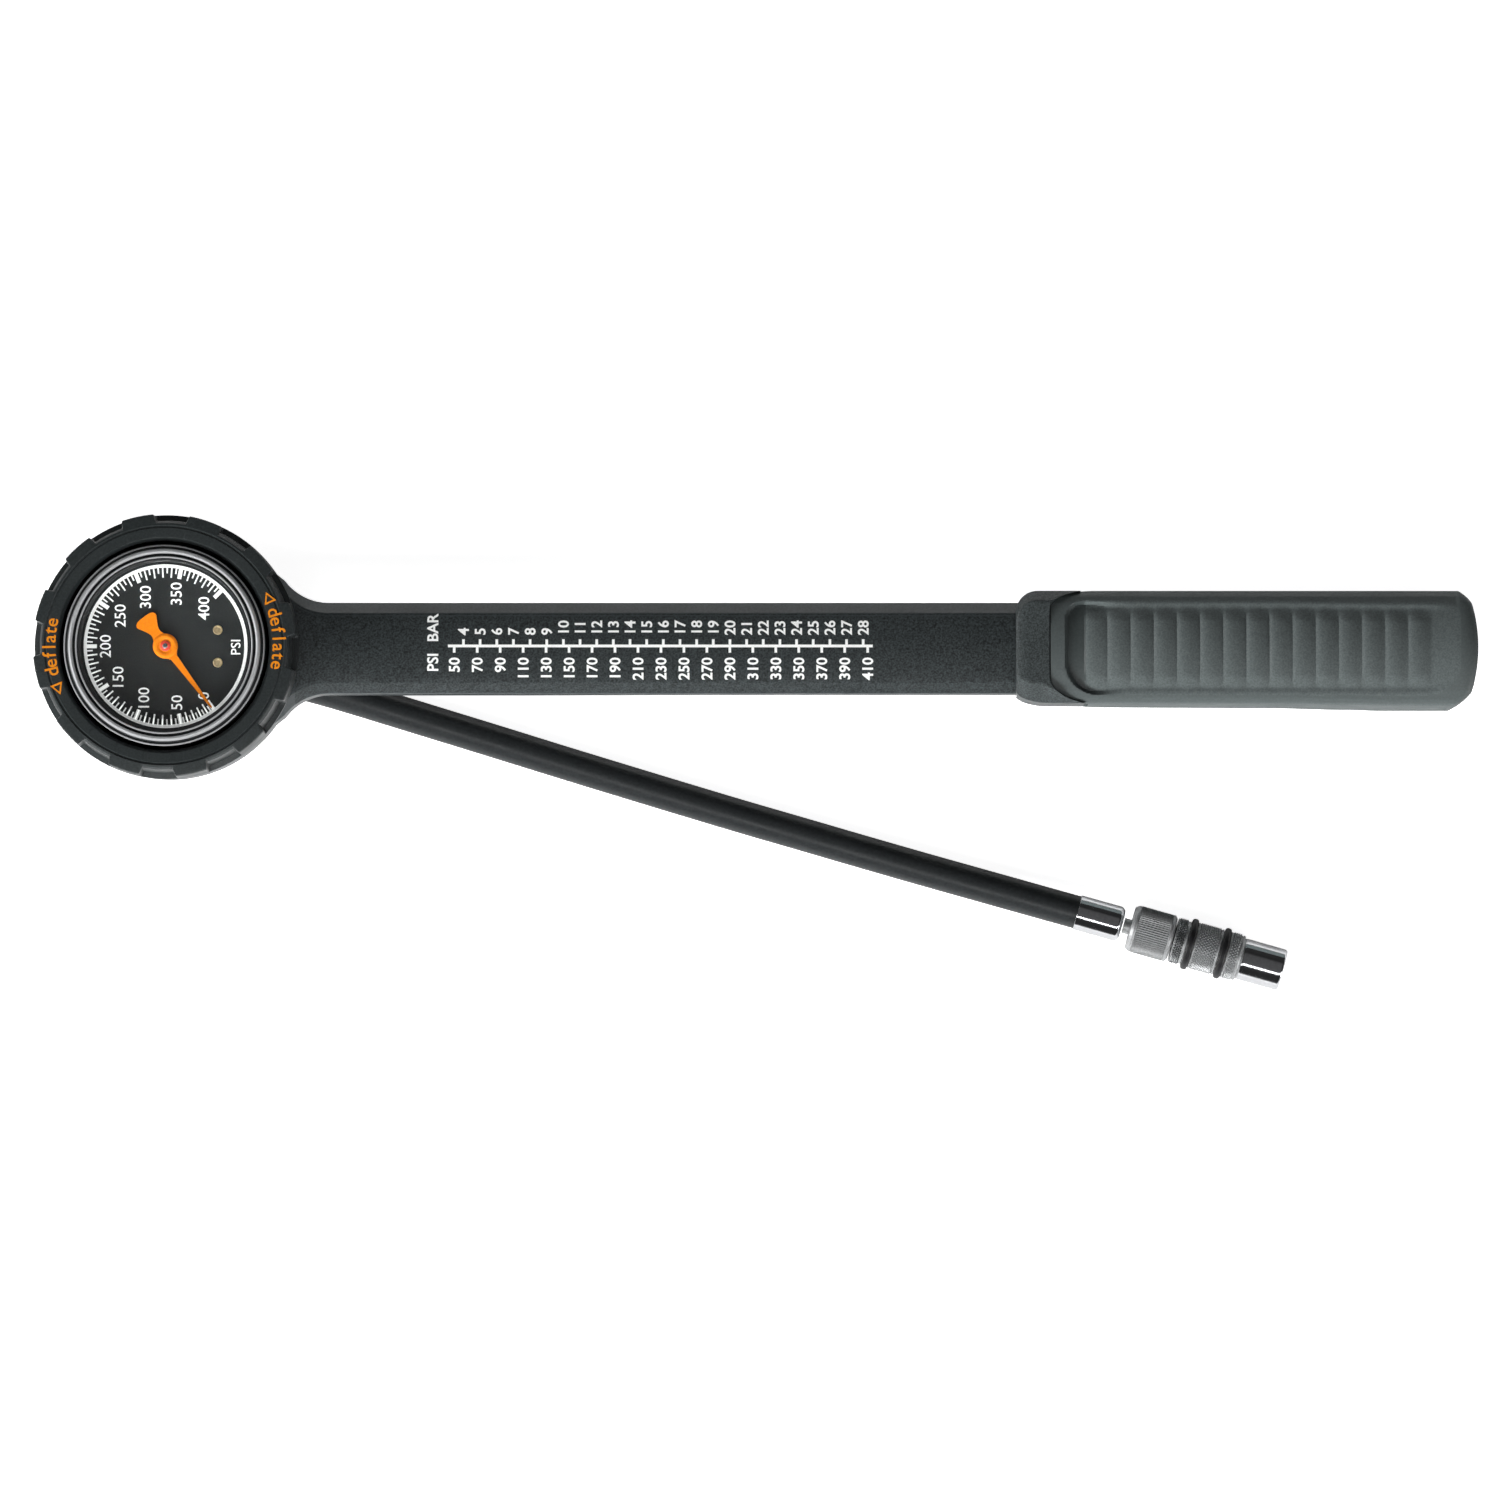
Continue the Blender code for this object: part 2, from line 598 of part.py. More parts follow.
def make_dial_and_pointer():
    dial = turned("dial_plate", tube_profile(1.2 * MM, 22.0 * MM, DIAL_Z, DIAL_Z + 0.6 * MM),
                  "dial_black", STEPS_LARGE, closed=True)
    for index, y in enumerate((3.85, -3.85)):
        hole = turned(f"rivet_hole_{index + 1}", rod_profile(0.9 * MM, 30 * MM, 36 * MM), None, 16)
        hole.location = (12.3 * MM, y * MM, 0)
        cut(dial, hole)
        rivet = turned(f"dial_rivet_{index + 1}",
                       [(0, DIAL_Z + 1.25 * MM), (0.6 * MM, DIAL_Z + 1.2 * MM),
                        (1.1 * MM, DIAL_Z + 0.9 * MM), (0.6 * MM, DIAL_Z + 0.9 * MM),
                        (0.6 * MM, 31.0 * MM), (0, 31.0 * MM)], "brass", 20)
        rivet.location = hole.location

    needle = [(2.9, -1.0), (17.9, -0.3), (18.2, 0.0), (17.9, 0.3), (2.9, 1.0)]
    hub = arc(2.95 * MM, radians(20), radians(150), 8)
    tail = [(-4.2, 1.5), (-5.6, 1.9), (-7.0, 3.0), (-7.8, 1.7), (-8.1, 0.0),
            (-7.8, -1.7), (-7.0, -3.0), (-5.6, -1.9), (-4.2, -1.5)]
    outline = [(x * MM, y * MM) for x, y in needle] + hub
    outline += [(x * MM, y * MM) for x, y in tail] + arc(2.95 * MM, radians(210), radians(340), 8)
    pointer = flat_shape("pointer", [outline, list(reversed(circle(0.75 * MM, 12)))],
                         34.6 * MM, 35.2 * MM, "pointer_orange")
    pointer.rotation_euler.z = radians(-53)
    boss = turned("pointer_boss", tube_profile(0.75 * MM, 1.6 * MM, 34.0 * MM, 35.6 * MM,
                                               0.2 * MM), None, 18, closed=True)
    join(pointer, boss)

    turned("bezel_liner", [(22.2 * MM, 36.9 * MM), (22.2 * MM, 33.9 * MM),
                           (20.0 * MM, 33.9 * MM), (21.0 * MM, 36.9 * MM)],
           "ring_plastic", STEPS_LARGE, closed=True)
    turned("lens_gasket", o_ring_profile(23.1 * MM, 0.8 * MM, 36.7 * MM, 6), "seal_rubber",
           32, closed=True)
    turned("gauge_lens",
           [(0, LENS_TOP), (20.6 * MM, LENS_TOP), (22.4 * MM, LENS_TOP - 0.5 * MM),
            (23.4 * MM, LENS_TOP - 1.6 * MM), (23.7 * MM, LENS_TOP - 2.6 * MM),
            (23.7 * MM, 37.4 * MM), (22.0 * MM, 37.4 * MM), (20.6 * MM, 38.8 * MM),
            (0, 38.8 * MM)], "lens_clear", STEPS_LARGE)


# ---------------------------------------------------------------- deflate ring

def make_deflate_ring():
    edge = 0.8 * MM
    ring = turned("deflate_ring",
                  [(RING_INNER + edge, RING_HIGH), (RING_RADIUS - edge, RING_HIGH),
                   (RING_RADIUS, RING_HIGH - edge), (RING_RADIUS, RING_LOW),
                   (RING_INNER, RING_LOW), (RING_INNER, RING_HIGH - edge)],
                  "ring_plastic", STEPS_LARGE, closed=True)
    half = radians(7.5)
    for index in range(RECESSES):
        middle = RECESS_TURN + index * 2 * pi / RECESSES
        outline = (arc(RECESS_RADIUS, middle - half, middle + half, 3)
                   + [(36 * MM * cos(middle + half), 36 * MM * sin(middle + half)),
                      (36 * MM * cos(middle - half), 36 * MM * sin(middle - half))])
        notch = flat_shape(f"recess_{index + 1}", [outline], 20 * MM, 50 * MM, None)
        cut(ring, notch)
    join(ring, make_cam())


def make_cam():
    """The ramp under the ring: its underside falls as the ring turns anticlockwise."""
    mesh = bpy.data.meshes.new("cam_ramp")
    ramp = bmesh.new()
    count = 14
    start = CAM_TURN + radians(4)
    end = CAM_TURN - CAM_TRAVEL - radians(6)
    rows = []
    for i in range(count + 1):
        share = i / count
        turn = start + (end - start) * share
        low = 28.5 * MM - CAM_DROP * max(0.0, (CAM_TURN - turn) / CAM_TRAVEL)
        corners = [(r, z) for r, z in ((26.0 * MM, low), (28.0 * MM, low),
                                       (28.0 * MM, 30 * MM), (26.0 * MM, 30 * MM))]
        rows.append([ramp.verts.new((r * cos(turn), r * sin(turn), z)) for r, z in corners])
    for first, second in zip(rows, rows[1:]):
        for i in range(4):
            j = (i + 1) % 4
            ramp.faces.new((first[i], first[j], second[j], second[i]))
    ramp.faces.new(rows[0])
    ramp.faces.new(list(reversed(rows[-1])))
    bmesh.ops.recalc_face_normals(ramp, faces=ramp.faces)
    ramp.to_mesh(mesh)
    ramp.free()
    return add_object("cam_ramp", mesh, None)


# ---------------------------------------------------------------- handle

def handle_section(half, low, high=HANDLE_TOP, top_radius=3.6 * MM, low_radius=5.0 * MM):
    return rounded_section(half, low, high, top_radius, low_radius, 4)


def make_handle():
    core = lofted("handle_core", [
        (HANDLE_START, handle_section(10.9 * MM, 8.2 * MM, 32.0 * MM, 2.6 * MM, 3.0 * MM)),
        (HANDLE_START + 0.8 * MM, handle_section(11.9 * MM, 7.4 * MM, 32.4 * MM)),
        (HANDLE_START + 2.6 * MM, handle_section(12.9 * MM, 6.8 * MM, 32.7 * MM)),
        (HANDLE_START + 5.2 * MM, handle_section(13.3 * MM, 6.5 * MM, 32.8 * MM)),
        (GRIP_START - GAP, handle_section(13.3 * MM, 6.3 * MM, 32.8 * MM))], "collar_plastic")
    sleeve = lofted("core_sleeve", [
        (204 * MM, handle_section(12.1 * MM, 8.1 * MM, 29.6 * MM, 3.0 * MM, 4.0 * MM)),
        (303 * MM, handle_section(12.1 * MM, 8.1 * MM, 29.6 * MM, 3.0 * MM, 4.0 * MM))], None)
    socket = box("handle_socket", (190 * MM, -11.15 * MM, 9.15 * MM),
                 (SOCKET_END, 11.15 * MM, 27.35 * MM), None, 1.2 * MM)
    rod_hole = along_x(turned("rod_hole", rod_profile(ROD_RADIUS + GAP, 280 * MM, 299 * MM),
                              None, 32))
    screw_hole = along_x(turned("end_hole", rod_profile(2.4 * MM, 290 * MM, 320 * MM), None, 20))
    join(core, sleeve)
    cut(core, socket, rod_hole, screw_hole)

    grip = lofted("handle_grip", [
        (GRIP_START, handle_section(13.0 * MM, 6.6 * MM, 32.6 * MM)),
        (GRIP_START + 1.0 * MM, handle_section(13.4 * MM, 6.2 * MM)),
        (222 * MM, handle_section(13.5 * MM, 5.6 * MM)),
        (240 * MM, handle_section(13.5 * MM, 4.4 * MM)),
        (262 * MM, handle_section(13.6 * MM, 2.6 * MM)),
        (280 * MM, handle_section(13.9 * MM, 0.7 * MM)),
        (288 * MM, handle_section(14.1 * MM, 0.0 * MM)),
        (304 * MM, handle_section(14.1 * MM, 0.0 * MM)),
        (307.6 * MM, handle_section(13.0 * MM, 1.6 * MM, 31.6 * MM)),
        (HANDLE_END, handle_section(11.0 * MM, 4.0 * MM, 29.6 * MM))], "grip_rubber")
    core_space = lofted("grip_cavity", [
        (190 * MM, handle_section(12.4 * MM, 7.8 * MM, 30.3 * MM, 3.2 * MM, 4.2 * MM)),
        (303.3 * MM, handle_section(12.4 * MM, 7.8 * MM, 30.3 * MM, 3.2 * MM, 4.2 * MM))], None)
    head_hole = along_x(turned("grip_hole", rod_profile(4.6 * MM, 300 * MM, 320 * MM), None, 24))
    cut(grip, core_space, head_hole)

    rod = turned("piston_rod", rod_profile(ROD_RADIUS, 51.5 * MM, 298.7 * MM, 0.4 * MM),
                 "bright_chrome", 24)
    along_x(rod)
    thread = along_x(turned("rod_thread_hole", rod_profile(2.3 * MM, 288 * MM, 310 * MM),
                            None, 20))
    cut(rod, thread)
    screw = turned("handle_end_screw",
                   [(0, 306.4 * MM), (1.5 * MM, 306.4 * MM), (1.5 * MM, 307.9 * MM),
                    (4.0 * MM, 307.9 * MM), (4.0 * MM, 303.5 * MM), (2.0 * MM, 303.5 * MM),
                    (2.0 * MM, 288.5 * MM), (0, 288.5 * MM)], "spring_steel", 24)
    along_x(screw)
    piston = turned("piston",
                    [(0, 51.1 * MM), (5.2 * MM, 51.1 * MM), (5.2 * MM, 48.6 * MM),
                     (3.9 * MM, 48.6 * MM), (3.9 * MM, 45.4 * MM), (5.2 * MM, 45.4 * MM),
                     (5.2 * MM, 43.0 * MM), (0, 43.0 * MM)], "aluminium", 32)
    along_x(piston)
    seal = turned("piston_seal", tube_profile(4.2 * MM, 5.4 * MM, 45.7 * MM, 48.3 * MM),
                  "seal_rubber", 32, closed=True)
    along_x(seal)
    bumper = turned("handle_bumper", tube_profile(ROD_RADIUS + GAP, 7.5 * MM, 288.9 * MM,
                                                  290.7 * MM, 0.3 * MM), "seal_rubber", 32,
                    closed=True)
    along_x(bumper)


# ---------------------------------------------------------------- hose swivel and hose

def outlet_point(distance, height=OUTLET_Z):
    return (distance * cos(OUTLET_TURN), distance * sin(OUTLET_TURN), height)


def make_swivel():
    turret = turned("swivel_turret",
                    [(0, 16.6 * MM), (3.6 * MM, 16.6 * MM), (4.4 * MM, 16.2 * MM),
                     (4.4 * MM, 15.9 * MM), (3.5 * MM, 15.9 * MM), (3.5 * MM, 14.3 * MM),
                     (4.4 * MM, 14.3 * MM), (4.4 * MM, 13.6 * MM), (3.4 * MM, 13.6 * MM),
                     (3.4 * MM, 12.4 * MM), (4.4 * MM, 12.4 * MM), (4.4 * MM, 9.0 * MM),
                     (TURRET_RADIUS - 0.8 * MM, 9.0 * MM), (TURRET_RADIUS, 8.2 * MM),
                     (TURRET_RADIUS, 0.6 * MM), (TURRET_RADIUS - 0.6 * MM, 0), (0, 0)],
                    "bright_chrome", 28)
    bore = turned("turret_bore", rod_profile(1.2 * MM, 3.4 * MM, 20 * MM), None, 16)
    outlet = turned("turret_outlet", rod_profile(1.2 * MM, 0, 14 * MM), None, 16)
    outlet.rotation_euler = (0, pi / 2, OUTLET_TURN)
    outlet.location.z = OUTLET_Z
    cut(turret, bore, outlet)
    turned("swivel_clip", tube_profile(3.7 * MM, 6.2 * MM, 12.7 * MM, 13.3 * MM), "spring_steel",
           20, closed=True)
    turned("swivel_seal", o_ring_profile(4.2 * MM, 1.1 * MM, 15.1 * MM, 6), "seal_rubber", 20,
           closed=True)

    ferrule = turned("hose_rear_ferrule",
                     [(4.1 * MM, FERRULE_END), (4.3 * MM, FERRULE_END - 1.2 * MM),
                      (4.3 * MM, FERRULE_START + 2.4 * MM), (3.4 * MM, FERRULE_START + 1.2 * MM),
                      (3.4 * MM, FERRULE_START + GAP), (1.2 * MM, FERRULE_START + GAP),
                      (1.2 * MM, FERRULE_END)], "bright_chrome", 24, closed=True)
    ferrule.rotation_euler = (0, pi / 2, OUTLET_TURN)
    ferrule.location.z = OUTLET_Z


# The hose's route from the rear ferrule to the connector, chosen by hand, in millimetres.
HOSE_ROUTE = [(20.7, -5.0, 4.7), (27.0, -6.5, 4.6), (33.4, -8.15, 4.4), (42.0, -10.6, 4.2),
              (52.0, -13.65, 4.05), (63.7, -17.25, 4.0), (78.0, -21.65, 4.0), (92.3, -26.1, 4.0),
              (107.0, -30.6, 4.0), (121.0, -34.85, 4.0), (135.5, -39.2, 4.0), (149.6, -43.3, 4.0),
              (164.0, -47.5, 4.1), (178.2, -51.6, 4.5), (192.0, -55.5, 5.25), (205.0, -59.17, 6.0),
              (216.6, -62.42, 6.35)]


def smooth_route(route, share_count):
    """Read points from a smooth curve through the route's own points."""
    points = [Vector(p) * MM for p in route]
    padded = [2 * points[0] - points[1]] + points + [2 * points[-1] - points[-2]]
    result = []
    for i in range(1, len(padded) - 2):
        before, a, b, after = padded[i - 1:i + 3]
        for k in range(share_count):
            t = k / share_count
            result.append(0.5 * (2 * a + (b - before) * t
                                 + (2 * before - 5 * a + 4 * b - after) * t ** 2
                                 + (3 * a - before - 3 * b + after) * t ** 3))
    result.append(points[-1])
    return result


def make_hose():
    first = Vector(outlet_point(FERRULE_END + GAP))
    route = [tuple(v / MM for v in first)] + HOSE_ROUTE[1:]
    wire("hose", smooth_route(route, 1), HOSE_RADIUS, "hose_rubber", 2)


# ---------------------------------------------------------------- connector

def connector_part(obj):
    """Lay a part made about Z along the connector's axis; its origin is where the hose ends."""
    obj.rotation_euler = (0, pi / 2, CONNECTOR_TURN)
    obj.location = CONNECTOR_START
    return obj


def make_connector():
    ferrule = turned("hose_front_ferrule",
                     [(3.45 * MM, 9.8 * MM), (3.7 * MM, 9.0 * MM), (3.8 * MM, 6.0 * MM),
                      (4.1 * MM, 4.0 * MM), (4.1 * MM, 0.9 * MM), (3.9 * MM, GAP),
                      (1.2 * MM, GAP), (1.2 * MM, 9.8 * MM)], "bright_chrome", 24, closed=True)
    connector_part(ferrule)
    stem = turned("connector_stem",
                  [(3.0 * MM, 34.0 * MM), (3.0 * MM, 32.0 * MM), (1.85 * MM, 32.0 * MM),
                   (1.85 * MM, 10.1 * MM), (0.8 * MM, 10.1 * MM), (0.8 * MM, 34.0 * MM)],
                  "knurled_steel", 24, closed=True)
    connector_part(stem)
    knob = turned("connector_knob",
                  [(5.0 * MM, 22.2 * MM), (5.7 * MM, 21.6 * MM), (5.7 * MM, 13.0 * MM),
                   (5.0 * MM, 11.8 * MM), (4.2 * MM, 11.8 * MM), (3.4 * MM, 12.8 * MM),
                   (2.15 * MM, 12.8 * MM), (2.15 * MM, 22.2 * MM)], "knurled_steel", 28,
                  closed=True)
    connector_part(knob)
    sleeve = turned("connector_sleeve",
                    [(4.1 * MM, 49.5 * MM), (4.7 * MM, 49.5 * MM), (5.0 * MM, 49.1 * MM),
                     (5.0 * MM, 39.0 * MM), (5.6 * MM, 38.9 * MM), (5.6 * MM, 35.6 * MM),
                     (4.9 * MM, 35.5 * MM), (4.9 * MM, 33.7 * MM), (5.6 * MM, 33.6 * MM),
                     (5.6 * MM, 27.5 * MM), (4.9 * MM, 27.4 * MM), (4.9 * MM, 25.6 * MM),
                     (5.4 * MM, 25.5 * MM), (5.4 * MM, 22.5 * MM), (2.15 * MM, 22.5 * MM),
                     (2.15 * MM, 31.0 * MM), (3.35 * MM, 31.0 * MM), (3.35 * MM, 38.5 * MM),
                     (4.1 * MM, 38.5 * MM)], "knurled_steel", 28, closed=True)
    connector_part(sleeve)
    for index, x in enumerate((26.5, 34.6)):
        ring = turned(f"connector_ring_{index + 1}",
                      [(6.25 * MM, (x + 0.45) * MM), (6.25 * MM, (x - 0.45) * MM),
                       (5.85 * MM, (x - 0.8) * MM), (5.15 * MM, (x - 0.8) * MM),
                       (5.15 * MM, (x + 0.8) * MM), (5.85 * MM, (x + 0.8) * MM)],
                      "seal_rubber", 28, closed=True)
        connector_part(ring)
    seal = turned("valve_seal", tube_profile(1.9 * MM, 3.8 * MM, 38.8 * MM, 40.6 * MM),
                  "seal_rubber", 24, closed=True)
    connector_part(seal)
    pin = turned("depressor_pin",
                 [(0, 41.6 * MM), (0.45 * MM, 41.6 * MM), (0.45 * MM, 36.2 * MM),
                  (1.3 * MM, 36.2 * MM), (1.3 * MM, 34.6 * MM), (0.5 * MM, 34.6 * MM),
                  (0.5 * MM, 30.0 * MM), (0, 30.0 * MM)], "brass", 16)
    connector_part(pin)


def main():
    make_housing()
    make_cylinder()
    make_manifold()
    make_bleed_valve()
    make_gauge_case()
    make_gauge_socket()
    make_bourdon_tube()
    make_movement()
    make_dial_and_pointer()
    make_deflate_ring()
    make_handle()
    make_swivel()
    make_hose()
    make_connector()


main()
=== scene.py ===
import json
from math import cos, hypot, pi, radians, sin, sqrt

import bmesh
import bpy
from mathutils import Matrix, Vector

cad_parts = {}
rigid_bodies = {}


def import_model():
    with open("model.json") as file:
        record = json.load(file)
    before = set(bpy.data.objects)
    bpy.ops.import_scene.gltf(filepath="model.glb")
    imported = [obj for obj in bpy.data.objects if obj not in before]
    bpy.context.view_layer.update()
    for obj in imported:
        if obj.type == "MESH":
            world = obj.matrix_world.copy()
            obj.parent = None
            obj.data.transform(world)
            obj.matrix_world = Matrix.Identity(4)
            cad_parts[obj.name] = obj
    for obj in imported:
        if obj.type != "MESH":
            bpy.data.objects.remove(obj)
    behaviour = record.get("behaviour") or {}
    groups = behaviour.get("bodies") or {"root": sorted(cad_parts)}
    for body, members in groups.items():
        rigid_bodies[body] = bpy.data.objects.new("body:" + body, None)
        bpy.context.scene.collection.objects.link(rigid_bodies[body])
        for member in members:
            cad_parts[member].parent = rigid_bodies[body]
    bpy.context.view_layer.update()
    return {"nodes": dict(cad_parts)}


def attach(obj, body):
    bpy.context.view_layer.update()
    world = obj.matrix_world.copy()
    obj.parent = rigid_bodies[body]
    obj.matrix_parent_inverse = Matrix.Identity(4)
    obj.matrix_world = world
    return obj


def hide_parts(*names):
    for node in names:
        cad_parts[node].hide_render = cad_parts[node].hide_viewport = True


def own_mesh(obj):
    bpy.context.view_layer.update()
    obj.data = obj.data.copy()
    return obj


# Looks for a shock suspension pump: a gauge head, a barrel with a scale, a sliding handle and a hose.
# Sizes are in millimetres with +X towards the handle, +Z out of the dial, and the gauge on the origin.

for leftover in list(bpy.data.objects):
    bpy.data.objects.remove(leftover, do_unlink=True)
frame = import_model()
cadNodes = frame["nodes"]
mm = 0.001
scene = bpy.context.scene
print("frame loaded")


def link(obj):
    scene.collection.objects.link(obj)
    return obj


def shift(x, y, z=0):
    return Matrix.Translation((x * mm, y * mm, z * mm))


def meshObject(name, points, faces, materials, outward=True):
    mesh = bpy.data.meshes.new(name)
    mesh.from_pydata([Vector(p) * mm for p in points], [], faces)
    for finish in materials:
        mesh.materials.append(finishes[finish])
    if outward:
        work = bmesh.new()
        work.from_mesh(mesh)
        bmesh.ops.remove_doubles(work, verts=work.verts, dist=0.0000005)
        bmesh.ops.recalc_face_normals(work, faces=work.faces)
        work.to_mesh(mesh)
        work.free()
    return link(bpy.data.objects.new(name, mesh))


def shadeRound(obj, angle=30):
    obj.data.shade_smooth()
    obj.data.set_sharp_from_angle(angle=radians(angle))
    return obj


def roundCorners(corners, steps=4, closed=True):
    # corners are (x, y) or (x, y, radius); each rounded one becomes a short curve
    points = []
    count = len(corners)
    for i, corner in enumerate(corners):
        here = Vector(corner[:2])
        radius = corner[2] if len(corner) > 2 else 0
        if not radius or (not closed and i in (0, count - 1)):
            points.append(tuple(here))
            continue
        back = Vector(corners[i - 1][:2]) - here
        ahead = Vector(corners[(i + 1) % count][:2]) - here
        first = here + back.normalized() * min(radius, back.length * 0.49)
        last = here + ahead.normalized() * min(radius, ahead.length * 0.49)
        for k in range(steps + 1):
            t = k / steps
            points.append(tuple(first * (1 - t) ** 2 + here * 2 * t * (1 - t) + last * t * t))
    return points


def lathe(name, corners, materials, steps=96, closed=False):
    # turns a (radius, height) outline about Z; an open outline starts and ends on the axis
    outline = roundCorners(corners, closed=closed)
    points, rings, faces = [], [], []
    for radius, height in outline:
        if radius < 1e-6:
            rings.append([len(points)] * steps)
            points.append((0, 0, height))
            continue
        rings.append(list(range(len(points), len(points) + steps)))
        points += [(radius * cos(2 * pi * k / steps), radius * sin(2 * pi * k / steps), height)
                   for k in range(steps)]
    pairs = list(zip(rings, rings[1:])) + ([(rings[-1], rings[0])] if closed else [])
    for low, high in pairs:
        for k in range(steps):
            after = (k + 1) % steps
            corner = [low[k], low[after], high[after], high[k]]
            face = [v for i, v in enumerate(corner) if v not in corner[:i]]
            if len(face) > 2:
                faces.append(face)
    return shadeRound(meshObject(name, points, faces, materials))


def loft(name, sections, materials, caps=True, angle=30):
    # joins closed outlines of equal length, one after the other
    count = len(sections[0])
    points = [p for section in sections for p in section]
    faces = []
    for row in range(len(sections) - 1):
        for k in range(count):
            after = (k + 1) % count
            faces.append((row * count + k, row * count + after,
                          (row + 1) * count + after, (row + 1) * count + k))
    if caps:
        faces.append(tuple(range(count)))
        faces.append(tuple(range(len(points) - count, len(points))))
    return shadeRound(meshObject(name, points, faces, materials), angle)


def plate(name, outlines, low, high, materials):
    # a flat shape from closed outlines, as thick as low to high; an inner outline is a hole
    curve = bpy.data.curves.new(name, "CURVE")
    curve.dimensions = "2D"
    curve.fill_mode = "BOTH"
    curve.extrude = (high - low) / 2 * mm
    for outline in outlines:
        spline = curve.splines.new("POLY")
        spline.points.add(len(outline) - 1)
        for point, (x, y) in zip(spline.points, outline):
            point.co = (x * mm, y * mm, 0, 1)
        spline.use_cyclic_u = True
    guide = link(bpy.data.objects.new(name + "Guide", curve))
    mesh = evaluatedMesh(guide)
    bpy.data.objects.remove(guide)
    mesh.name = name
    mesh.transform(shift(0, 0, (low + high) / 2))
    mesh.materials.clear()
    for finish in materials:
        mesh.materials.append(finishes[finish])
    return link(bpy.data.objects.new(name, mesh))


def evaluatedMesh(obj):
    bpy.context.view_layer.update()
    return bpy.data.meshes.new_from_object(obj.evaluated_get(bpy.context.evaluated_depsgraph_get()))


def cutAway(obj, *cutters):
    for cutter in cutters:
        step = obj.modifiers.new("cut", "BOOLEAN")
        step.operation = "DIFFERENCE"
        step.object = cutter
    mesh = evaluatedMesh(obj)
    obj.modifiers.clear()
    obj.data = mesh
    for cutter in cutters:
        bpy.data.objects.remove(cutter)
    return shadeRound(obj)


axisHeight = 19.0      # the barrel's axis above the floor


def alongX(obj):
    # a turned piece's own Z becomes the barrel's axis
    obj.data.transform(shift(0, 0, axisHeight) @ Matrix.Rotation(pi / 2, 4, "Y"))
    return obj


def ringPoints(radius, count):
    return [(radius * cos(2 * pi * k / count), radius * sin(2 * pi * k / count)) for k in range(count)]


def smoothStep(value):
    value = min(max(value, 0.0), 1.0)
    return value * value * (3 - 2 * value)


def evenShading(obj):
    # large faces keep their own direction, and only the small rounds at the edges bend the light
    step = obj.modifiers.new("evenShading", "WEIGHTED_NORMAL")
    step.keep_sharp = True
    mesh = evaluatedMesh(obj)
    obj.modifiers.clear()
    obj.data = mesh


def finished(obj, body, slotName, *replaced, even=True):
    if even and obj.type == "MESH" and any(face.use_smooth for face in obj.data.polygons):
        evenShading(obj)
    if replaced:
        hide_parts(*replaced)
    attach(obj, body)
    return obj


